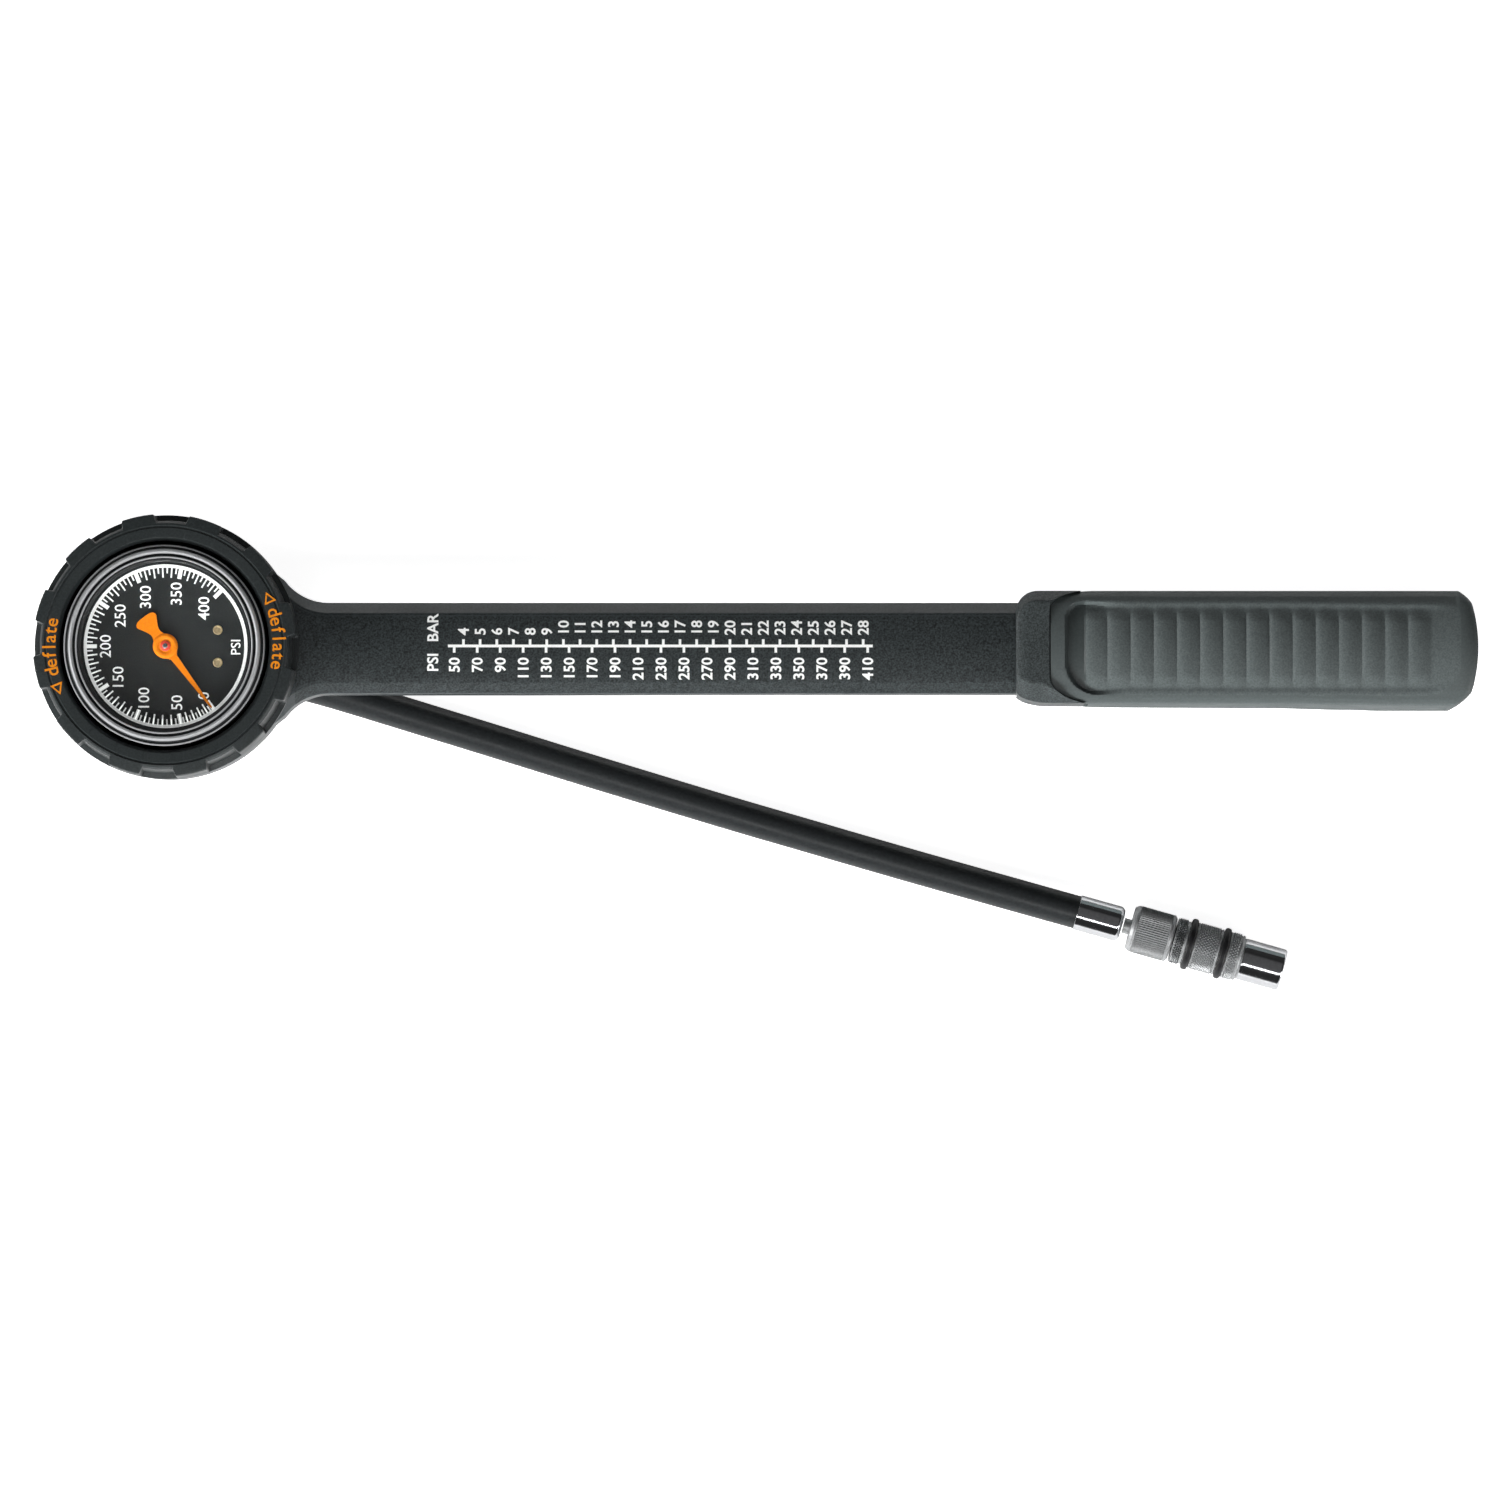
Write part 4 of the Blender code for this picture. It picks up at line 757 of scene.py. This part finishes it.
def makeBarrelScale():
    v = scaleValues
    white = "printWhite"
    level = v["level"] + v["thick"] / 2

    def placeOf(psi):
        return v["first"] + v["perPsi"] * (psi - 50)

    barStep = v["perPsi"] * v["perBar"]
    barStart = placeOf(4 * v["perBar"])
    middle, length = (v["lineStart"] + v["lineEnd"]) / 2, v["lineEnd"] - v["lineStart"]
    lineY, tick, width = v["lineY"], v["tick"], v["tickWidth"]
    rows = {"scale_line": (1, middle, 0, lineY, length, v["lineWidth"]),
            "scale_bar_ticks": (25, barStart, barStep, lineY + tick / 2 + 0.2, width, tick),
            "scale_psi_ticks": (19, placeOf(50), placeOf(70) - placeOf(50), lineY - tick / 2 - 0.2, width,
                                tick)}
    for name, (count, start, step, side, length, width) in rows.items():
        ticks = growMesh(name, rowTree, Count=count, Start=start * mm, Step=step * mm, Side=side * mm,
                         Level=level * mm, Length=length * mm, Width=width * mm, Height=v["thick"] * mm,
                         Material=white)
        finished(settleOnBarrel(ticks), "root", "dial_black")
    words = [placedWord(str(4 + k), v["digit"], barStart + k * barStep, 2.95, v["level"], pi / 2, "LEFT")
             for k in range(25)]
    words += [placedWord(str(psi), v["digit"], placeOf(psi), -2.3, v["level"], pi / 2, "RIGHT")
              for psi in range(50, 411, 20)]
    words.append(placedWord("BAR", v["unit"], v["unitX"], 1.35, v["level"], pi / 2, "LEFT"))
    words.append(placedWord("PSI", v["unit"], v["unitX"], -1.25, v["level"], pi / 2, "RIGHT"))
    finished(settleOnBarrel(joinMeshes("scale_numbers", words, white)), "root", "dial_black")


makeHousing()
makeBarrelScale()
print("head and barrel made")


ringValues = dict(recesses=12, firstRecess=27.0, halfWidth=7.5, edge=0.65, low=29.0, high=40.0, inner=24.6,
                  outer=31.2)


def makeRing():
    v = ringValues
    low, high, inner, outer = v["low"], v["high"], v["inner"], v["outer"]
    # the outline of the ring at a lug, and at the bottom of a finger recess
    lug = roundCorners([(inner + 0.3, low), (outer - 0.1, low), (outer, low + 0.3), (31.18, 30.2),
                        (31.15, 30.6), (30.95, high - 0.8), (30.75, high - 0.38), (30.35, high - 0.28),
                        (28.3, high), (28.1, high - 0.22), (27.8, high - 0.24), (27.6, high - 0.02),
                        (25.55, high - 0.02), (25.35, high - 0.08), (24.65, high - 1.3), (24.6, low + 0.3)])
    pocket = list(lug)
    pocket[3:8] = [(31.12, 30.1), (29.85, 30.5), (29.25, high - 0.9), (28.95, high - 0.35),
                   (28.7, high - 0.1)]
    edge, half = v["edge"], v["halfWidth"]
    offsets = [-15, -13.5, -12, -10.5, -9.2, -half - edge, -half - 0.3, -half + 0.3, -half + edge, -5.4, -3.6,
               -1.8, 0, 1.8, 3.6, 5.4, half - edge, half - 0.3, half + 0.3, half + edge, 9.2, 10.5, 12, 13.5]
    sections = []
    for k in range(v["recesses"]):
        centre = v["firstRecess"] + 360 / v["recesses"] * k
        for offset in offsets:
            turn = radians(centre + offset)
            share = smoothStep((half + edge - abs(offset)) / (2 * edge))
            sections.append([((a + (c - a) * share) * cos(turn), (a + (c - a) * share) * sin(turn),
                              b + (d - b) * share) for (a, b), (c, d) in zip(lug, pocket)])
    sections.append(sections[0])
    ring = loft("ring_shell", sections, ["ringSatin"], caps=False, angle=24)
    finished(ring, "ring", "ring_plastic", "deflate_ring")


letterValues = dict(word="deflate", words=((16.6, 4.45), (193.4, 4.15)), baseline=25.55, height=3.1,
                    arrowAngles=(24.2, 202.2), arrowRadius=26.9)


def makeRingLettering():
    v = letterValues
    top = ringValues["high"]
    meshes = []
    for first, step in v["words"]:
        for i, letter in enumerate(v["word"]):
            angle = radians(first - step * i)
            x, y = v["baseline"] * cos(angle), v["baseline"] * sin(angle)
            meshes.append(placedWord(letter, v["height"], x, y, top, angle - pi / 2, drop=0, bold=0.015))
    orange = "printOrange"
    finished(joinMeshes("ring_lettering", meshes, orange), "ring", "pointer_orange")
    for index, angle in enumerate(v["arrowAngles"]):
        turn = radians(angle)
        outer = [(1.6, 0), (-1.15, -1.5), (-1.15, 1.5)]      # points counter-clockwise round the ring
        inner = [(x * 0.58 - 0.05, y * 0.58) for x, y in outer]
        arrow = plate(f"ring_arrow_{index + 1}", [outer, inner], top, top + 0.03, [orange])
        place = shift(v["arrowRadius"] * cos(turn), v["arrowRadius"] * sin(turn))
        arrow.data.transform(place @ Matrix.Rotation(turn + pi / 2, 4, "Z"))
        finished(arrow, "ring", "pointer_orange")


makeRing()
makeRingLettering()
print("deflate ring made")


dialValues = dict(level=33.6, zeroAngle=307.5, fiftyAngle=281.25, perFifty=33.75, ringInner=18.55,
                  ringOuter=19.3, thick=0.03, numberHeight=2.55, rivetX=12.3, rivetSides=(3.85, -3.85))


def psiAngle(psi):
    v = dialValues
    if psi < 50:
        return v["zeroAngle"] - (v["zeroAngle"] - v["fiftyAngle"]) * psi / 50
    return v["fiftyAngle"] - v["perFifty"] * (psi - 50) / 50


def makeDial():
    v = dialValues
    # the dial's white glows: painted light in place of the light that the lens rim shades off
    white = "dialWhitePaintedLight"
    level = v["level"]
    finished(lathe("dial_face", [(0, 33.0), (22.0, 33.0), (22.0, level, 0.1), (0, level)],
                   ["dialBlack"]), "root", "dial_black", "dial_plate")
    edges = [ringPoints(v[name], 180) for name in ("ringOuter", "ringInner")]
    band = plate("dial_ring", edges, level, level + v["thick"], [white])
    finished(band, "root", "dial_black")
    outer = v["ringInner"] + 0.1
    tickSets = {"fives": (5, 17.2, 0.34), "tens": (10, 16.2, 0.36), "fifties": (50, 16.2, 0.95)}
    for name, (every, inner, width) in tickSets.items():
        for part, start, count, step in (("low", psiAngle(0), 50 // every, psiAngle(every) - psiAngle(0)),
                                         ("high", psiAngle(50), 350 // every + 1,
                                          psiAngle(50 + every) - psiAngle(50))):
            ticks = growMesh(f"dial_ticks_{name}_{part}", roundTree, Count=count, Start=radians(start),
                             Step=radians(step), Radius=(inner + outer) / 2 * mm,
                             Length=(outer - inner) * mm, Width=width * mm, Height=v["thick"] * mm,
                             Level=(level + v["thick"] / 2) * mm, Roll=0.0, Material=white)
            finished(ticks, "root", "dial_black")
    words = []
    for psi in range(0, 401, 50):
        angle = radians(psiAngle(psi))
        inward = max(sin(angle), 0) * 2.7 - min(sin(angle), 0) * 1.7
        radius = 14.7 if psi == 0 else 15.5 - abs(cos(angle)) * 1.3 - inward
        x, y = radius * cos(angle), radius * sin(angle)
        words.append(placedWord(str(psi), v["numberHeight"], x, y, level, pi / 2, bold=0.008))
    words.append(placedWord("PSI", 2.2, 16.5, -0.2, level, pi / 2, bold=0.005))
    finished(joinMeshes("dial_numbers", words, white), "root", "dial_black")
    for index, side in enumerate(v["rivetSides"]):
        rivet = lathe(f"rivet_{index + 1}", [
            (0, level - 0.2), (1.15, level - 0.2), (1.15, level + 0.25, 0.2), (0.85, level + 0.3, 0.1),
            (0.75, level + 0.15, 0.1), (0, level + 0.2)], ["brass"], 32)
        rivet.data.transform(shift(v["rivetX"], side))
        finished(rivet, "root", "brass", f"dial_rivet_{index + 1}")


pointerValues = dict(turn=-53.0, low=34.6, high=35.1, tip=18.2, hub=2.95)


def makePointer():
    v = pointerValues
    orange = "pointerOrange"
    side = [(-8.5, 0.9), (-8.35, 1.9), (-8.0, 2.5), (-7.5, 2.75), (-7.0, 2.65), (-6.0, 2.05), (-5.0, 1.5),
            (-4.2, 1.2), (-3.5, 1.15), (-3.0, 1.35)]
    hub = [(-v["hub"] * cos(a), v["hub"] * sin(a)) for a in [radians(32 + 7.25 * k) for k in range(17)]]
    upper = side + hub + [(3.4, 0.86), (10.0, 0.55), (v["tip"] - 0.3, 0.24), (v["tip"], 0.12)]
    outline = upper + [(x, -y) for x, y in reversed(upper)]
    turn = Matrix.Rotation(radians(v["turn"]), 4, "Z")
    needle = plate("pointer_needle", [outline], v["low"], v["high"], [orange])
    needle.data.transform(turn)
    finished(needle, "pointer_set", "pointer_orange", "pointer")
    boss = lathe("pointer_boss", [
        (0, 34.3), (1.6, 34.3), (2.9, v["high"] - 0.05), (2.9, 35.2, 0.1), (2.35, 35.45, 0.1),
        (1.9, 35.4, 0.1), (1.5, 35.2, 0.1), (0, 35.2)], [orange], 64)
    finished(boss, "pointer_set", "pointer_orange")
    collar = lathe("pointer_collar", [(0, 35.1), (1.25, 35.1), (1.25, 35.5, 0.15), (0.8, 35.6, 0.1),
                                      (0, 35.6)], ["redLacquer"], 48)
    finished(collar, "pointer_set", "pointer_orange")
    pin = lathe("pointer_pin", [(0, 35.4), (0.62, 35.4), (0.62, 35.9, 0.15), (0.25, 36.0, 0.1), (0, 36.0)],
                ["springSteel"], 32)
    finished(pin, "pointer_set", "spring_steel")


def makeGaugeBody():
    case = lathe("case_shell", [(0, 19.8), (22.6, 19.8), (22.6, 36.0, 0.2), (23.9, 36.0, 0.3),
                                (23.9, 18.4, 0.8), (0, 18.4)], ["ringSatin"])
    finished(case, "root", "ring_plastic", "gauge_case")
    liner = lathe("bezel_steps", [
        (19.9, 33.9), (22.2, 33.9), (22.2, 36.9, 0.1), (21.9, 36.9, 0.2), (21.4, 36.6, 0.1),
        (21.25, 35.6, 0.1), (20.8, 35.5, 0.15), (20.5, 35.2, 0.1), (20.35, 34.6, 0.1), (19.9, 34.3, 0.1)],
        ["linerBlack"], 160, closed=True)
    finished(liner, "root", "dial_black", "bezel_liner", even=False)
    lens = lathe("lens_cap", [(0, 38.9), (20.3, 38.9), (20.3, 40.2, 0.15), (0, 40.2)],
                 ["clearLens"], 160)
    finished(lens, "root", "lens_clear", "gauge_lens")
    # the rim that holds the lens: beads on black, the middle one broad; the beads are painted light grey as
    # the highlights of the lens's polished edges
    rim = lathe("lens_rim", [
        (20.35, 37.4), (20.35, 40.22), (20.0, 40.24), (20.0, 40.34, 0.05), (20.5, 40.4), (20.6, 40.6, 0.1),
        (20.85, 40.6, 0.1), (20.95, 40.2), (21.45, 39.9), (21.6, 40.6, 0.2), (21.9, 41.0, 0.3),
        (22.35, 40.9, 0.3), (22.65, 40.2, 0.1), (22.8, 39.6), (23.25, 39.3), (23.32, 39.7, 0.1),
        (23.6, 39.7, 0.1), (23.7, 39.2), (23.7, 37.4)], ["linerBlack", "rimPaintedHighlight"], 180, closed=True)
    # the beads' faces take the light grey, painted highlights
    for face in rim.data.polygons:
        reach = hypot(face.center.x, face.center.y) / mm
        level = face.center.z / mm
        if (20.5 < reach < 20.95 and level > 40.25) or (21.55 < reach < 22.65 and level > 40.2) \
                or (23.27 < reach < 23.69 and level > 39.35):
            face.material_index = 1
    finished(rim, "root", "dial_black", "gauge_lens", even=False)


makeDial()
makePointer()
makeGaugeBody()
print("gauge made")


handleValues = dict(start=200.5, gripStart=208.6, end=309.5, top=33.0, upperHalf=13.5, frontCurve=13.0,
                    frontFade=26, frontSide=13.7, endCut=304.2, endNarrow=3.2, endDrop=1.3, collarHalf=13.3,
                    collarHigh=32.8)
scoopValues = dict(start=211.9, end=305.5, up=10.9, down=-11.5, cornerUp=4.3, cornerDown=8.0, wall=0.9,
                   sideWall=2.2, depth=0.6, frontDepth=0.8, crown=1.6, rimSlope=0.5, firstWave=216.6,
                   pitch=5.45, waves=15, waveHeight=0.75, fade=4.0, paintedShadeEnd=216.8, domeHalf=10.4)
# the grip's underside and half width, each as (place along the barrel, value)
gripBottom = [(208.6, 6.2), (222, 5.6), (240, 4.4), (262, 2.6), (280, 0.7), (288, 0.0), (304, 0.0),
              (309.5, 4.0)]
gripHalf = [(208.6, 13.4), (212, 13.5), (262, 13.6), (280, 13.9), (288, 14.1), (310, 14.1)]


def readTable(table, x):
    for (x0, v0), (x1, v1) in zip(table, table[1:]):
        if x <= x1:
            return v0 + (v1 - v0) * smoothStep((x - x0) / (x1 - x0)) if x > x0 else v0
    return table[-1][1]


def frontShift(y):
    # the grip's front edge curves back towards the sides, more gently on the -Y side
    start = 9.4 if y > 0 else 7.2
    share = min(max((abs(y) - start) / (handleValues["frontSide"] - start), 0), 1)
    return handleValues["frontCurve"] * (1 - sqrt(1 - share * share))


def scoopInside(x, y):
    # how far a place on the top of the grip lies inside the edge of the scoop
    v = scoopValues
    centreX, centreY = (v["start"] + v["end"]) / 2, (v["up"] + v["down"]) / 2
    corner = v["cornerUp"] if y > centreY else v["cornerDown"]
    outX = abs(x - centreX) - (v["end"] - v["start"]) / 2 + corner
    outY = abs(y - centreY) - (v["up"] - v["down"]) / 2 + corner
    return corner - hypot(max(outX, 0), max(outY, 0)) - min(max(outX, outY), 0)


def scoopDrop(x, y):
    # how far the grip's top lies below its rim: steep at the front, soft at the sides and the far end
    v = scoopValues
    inside = scoopInside(x, y)
    if inside <= 0:
        return 0
    front = 1 - smoothStep((x - v["start"] - 4) / 12)
    wall = v["sideWall"] + (v["wall"] - v["sideWall"]) * front
    bowl = v["depth"] + v["frontDepth"] * front
    bowl = bowl * smoothStep((v["end"] - x) / 10) * smoothStep(inside / wall)
    wave = (x - v["firstWave"]) / v["pitch"]
    if 0 < wave < v["waves"]:
        rise = sin(pi * (wave % 1.0) ** 0.72) ** 0.9 if wave % 1.0 > 0 else 0
        bowl -= v["waveHeight"] * rise * smoothStep((inside - 1.0) / v["fade"])
    return bowl


def crownDrop(y):
    # the top is domed, and its rim slopes off more steeply
    v = scoopValues
    inner = min(abs(y), v["domeHalf"])
    return v["crown"] * (inner / v["domeHalf"]) ** 2 + v["rimSlope"] * (abs(y) - inner)


def gripSection(x):
    v = handleValues
    half, low = readTable(gripHalf, x), readTable(gripBottom, x)
    endShare = max(x - v["endCut"], 0) / (v["end"] - v["endCut"])
    half -= v["endNarrow"] * endShare      # the end corners are cut off
    top = v["top"] - v["endDrop"] * endShare ** 3
    across = half - 1.5
    outline = [(across - 2 * across * k / 72, top) for k in range(73)]
    side = [(-half + 0.5, top - 0.5, 0.4), (-half + 0.2, top - 1.4, 0.4), (-half, top - 7, 1),
            (-half, low, 5.0)]
    lower = side + [(-y, z, r) for y, z, r in reversed(side)]
    rounded = roundCorners([(-across, top)] + lower + [(across, top)], 5, closed=False)[1:-1]
    shiftShare = max(0.0, 1 - (x - v["gripStart"]) / v["frontFade"]) ** 2
    section = []
    for y, z in outline + rounded:
        place = x + frontShift(y) * shiftShare - 1.5 * (endShare * y / half) ** 2
        drop = crownDrop(y) + (scoopDrop(place, y) if z > top - 0.01 else 0)
        width = min(1, v["upperHalf"] / half) if y > 0 else 1
        section.append((place, y * width, z - drop * smoothStep((z - top + 8) / 5)))
    return section


def withTopPoints(corners):
    # rounds the eight corners and adds places along the top and its two slopes
    points = [Vector(p) for p in roundCorners([(*c, 0.4) for c in corners], 3)]

    def between(first, last, count):
        return [first.lerp(last, k / (count + 1)) for k in range(1, count + 1)]

    return (points[:4] + between(points[3], points[4], 3) + points[4:28] + between(points[27], points[28], 3)
            + points[28:] + between(points[-1], points[0], 16))


def boxSection(x, half, low, high, upper=2.5, lower=4.0, curved=False):
    corners = [(-half + upper, high), (-half, high - upper), (-half, low + lower), (-half + lower, low),
               (half - lower, low), (half, low + lower), (half, high - upper), (half - upper, high)]
    return [(x + (frontShift(y) if curved else 0), y, z) for y, z in withTopPoints(corners)]


def collarSection(x):
    # the front corners are rounded in plan: tighter on the +Y side, longer on the -Y side
    v = handleValues
    reach = x - v["start"]
    plus = v["collarHalf"] - 5.0 * (1 - sqrt(max(0, 1 - max(0, 1 - reach / 5.0) ** 2)))
    minus = v["collarHalf"] - 3.0 * (1 - sqrt(max(0, 1 - max(0, 1 - reach / 8.6) ** 2)))
    low = 6.3 + 1.9 * max(0, 1 - reach / 5.2) ** 2
    high = v["collarHigh"] - 0.8 * max(0, 1 - reach / 3.0) ** 2
    corners = [(-minus + 4.2, high), (-minus, high - 3.2), (-minus, low + 4), (-minus + 4, low),
               (plus - 4, low), (plus, low + 4), (plus, high - 2.4), (plus - 2.5, high)]
    return [(x, y, z) for y, z in withTopPoints(corners)]


def makeHandle():
    v = handleValues
    rubber, collar = "gripRubber", "collarGrained"
    scoopStart = scoopValues["start"]
    stations = [v["gripStart"], 209.0, 209.6, 210.3, 211.1] + [scoopStart + 0.42 * k for k in range(218)]
    stations += [303.6 + (v["end"] - 303.6) * k / 20 for k in range(21)]
    skin = [gripSection(x) for x in stations]
    throat = [(x, y * 0.78, axisHeight + (z - axisHeight) * 0.78) for x, y, z in skin[0]]
    plug = [(225, y, z) for x, y, z in throat]
    grip = loft("grip_cover", [plug, throat] + skin, [rubber, "gripRim", "gripPaintedShade"],
                angle=38)
    cavity = loft("cavity", [boxSection(x, 12.4, 7.8, 30.2, 3.2, 4.2) for x in (190, 303.3)], [rubber])
    endHole = alongX(lathe("endHole", [(0, 300), (4.6, 300), (4.6, 320), (0, 320)], [rubber], 48))
    cutAway(grip, cavity, endHole)
    # the scoop's rim takes its own rubber; the front of the scoop a darker one, painted shade
    for face in grip.data.polygons:
        x, y, z = face.center / mm
        if z > 29.5 and scoopInside(x, y) < 0.05:
            face.material_index = 1
        elif z > 29.5 and x < scoopValues["paintedShadeEnd"]:
            face.material_index = 2
    finished(grip, "handle", "grip_rubber", "handle_grip")

    fronts = [v["start"] + 0.02, 200.6, 200.8, 201.1, 201.5, 202, 202.6, 203.3, 204.1, 205, 206, 207.2]
    sections = [collarSection(x) for x in fronts]
    sections.append(boxSection(208.3, v["collarHalf"], 6.3, v["collarHigh"], curved=True))
    sections.append(boxSection(208.4, 12.1, 8.1, 29.6, 3.0, curved=True))
    sections.append(boxSection(303.0, 12.1, 8.1, 29.6, 3.0))
    core = loft("collar_core", sections, [collar])
    socket = loft("socket", [boxSection(x, 11.15, 9.15, 27.35, 1.2, 1.2) for x in (190, 291)], [collar])
    cutAway(core, socket)
    finished(core, "handle", "collar_plastic", "handle_core")

    rod = alongX(lathe("rod_bar", [(0, 51.5), (4.0, 51.5, 0.4), (4.0, 298.7, 0.4), (0, 298.7)],
                       ["chrome"], 64))
    finished(rod, "handle", "bright_chrome", "piston_rod")
    screw = alongX(lathe("end_screw", [
        (0, 306.4), (1.7, 306.4), (1.9, 307.9, 0.1), (4.0, 307.9, 0.4), (4.0, 303.5), (2.0, 303.5),
        (2.0, 288.5), (0, 288.5)], ["darkSteel"], 48))
    finished(screw, "handle", "spring_steel", "handle_end_screw")


makeHandle()
print("handle made")


# the pieces that keep the solid's own shape get their metal or rubber
nodeFinishes = {
    "aluminium": ["cylinder_tube", "cylinder_head", "manifold", "piston", "rod_guide", "gauge_socket"],
    "brass": ["check_valve_seat", "bourdon_tube", "movement_back_plate", "movement_front_plate",
              "movement_pillar_1", "movement_pillar_2", "sector_gear", "bleed_plunger", "depressor_pin"],
    "springSteel": ["check_valve_spring", "back_screw_1", "back_screw_2", "back_screw_3", "hairspring",
                    "bleed_spring", "check_valve_ball", "pointer_arbor", "movement_link", "swivel_clip"],
    "sealRubber": ["rod_seal", "lens_gasket", "bleed_seal", "piston_seal", "handle_bumper", "swivel_seal",
                   "valve_seal"],
    "chrome": ["swivel_turret", "hose_rear_ferrule"],
}
for finish, names in nodeFinishes.items():
    for name in names:
        cadNodes[name].data.materials.clear()
        cadNodes[name].data.materials.append(finishes[finish])
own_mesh(cadNodes["bleed_spring"])
missed = [name for name, node in cadNodes.items()
          if not node.hide_render and name not in sum(nodeFinishes.values(), [])]
print("inner parts painted, left over:", missed)
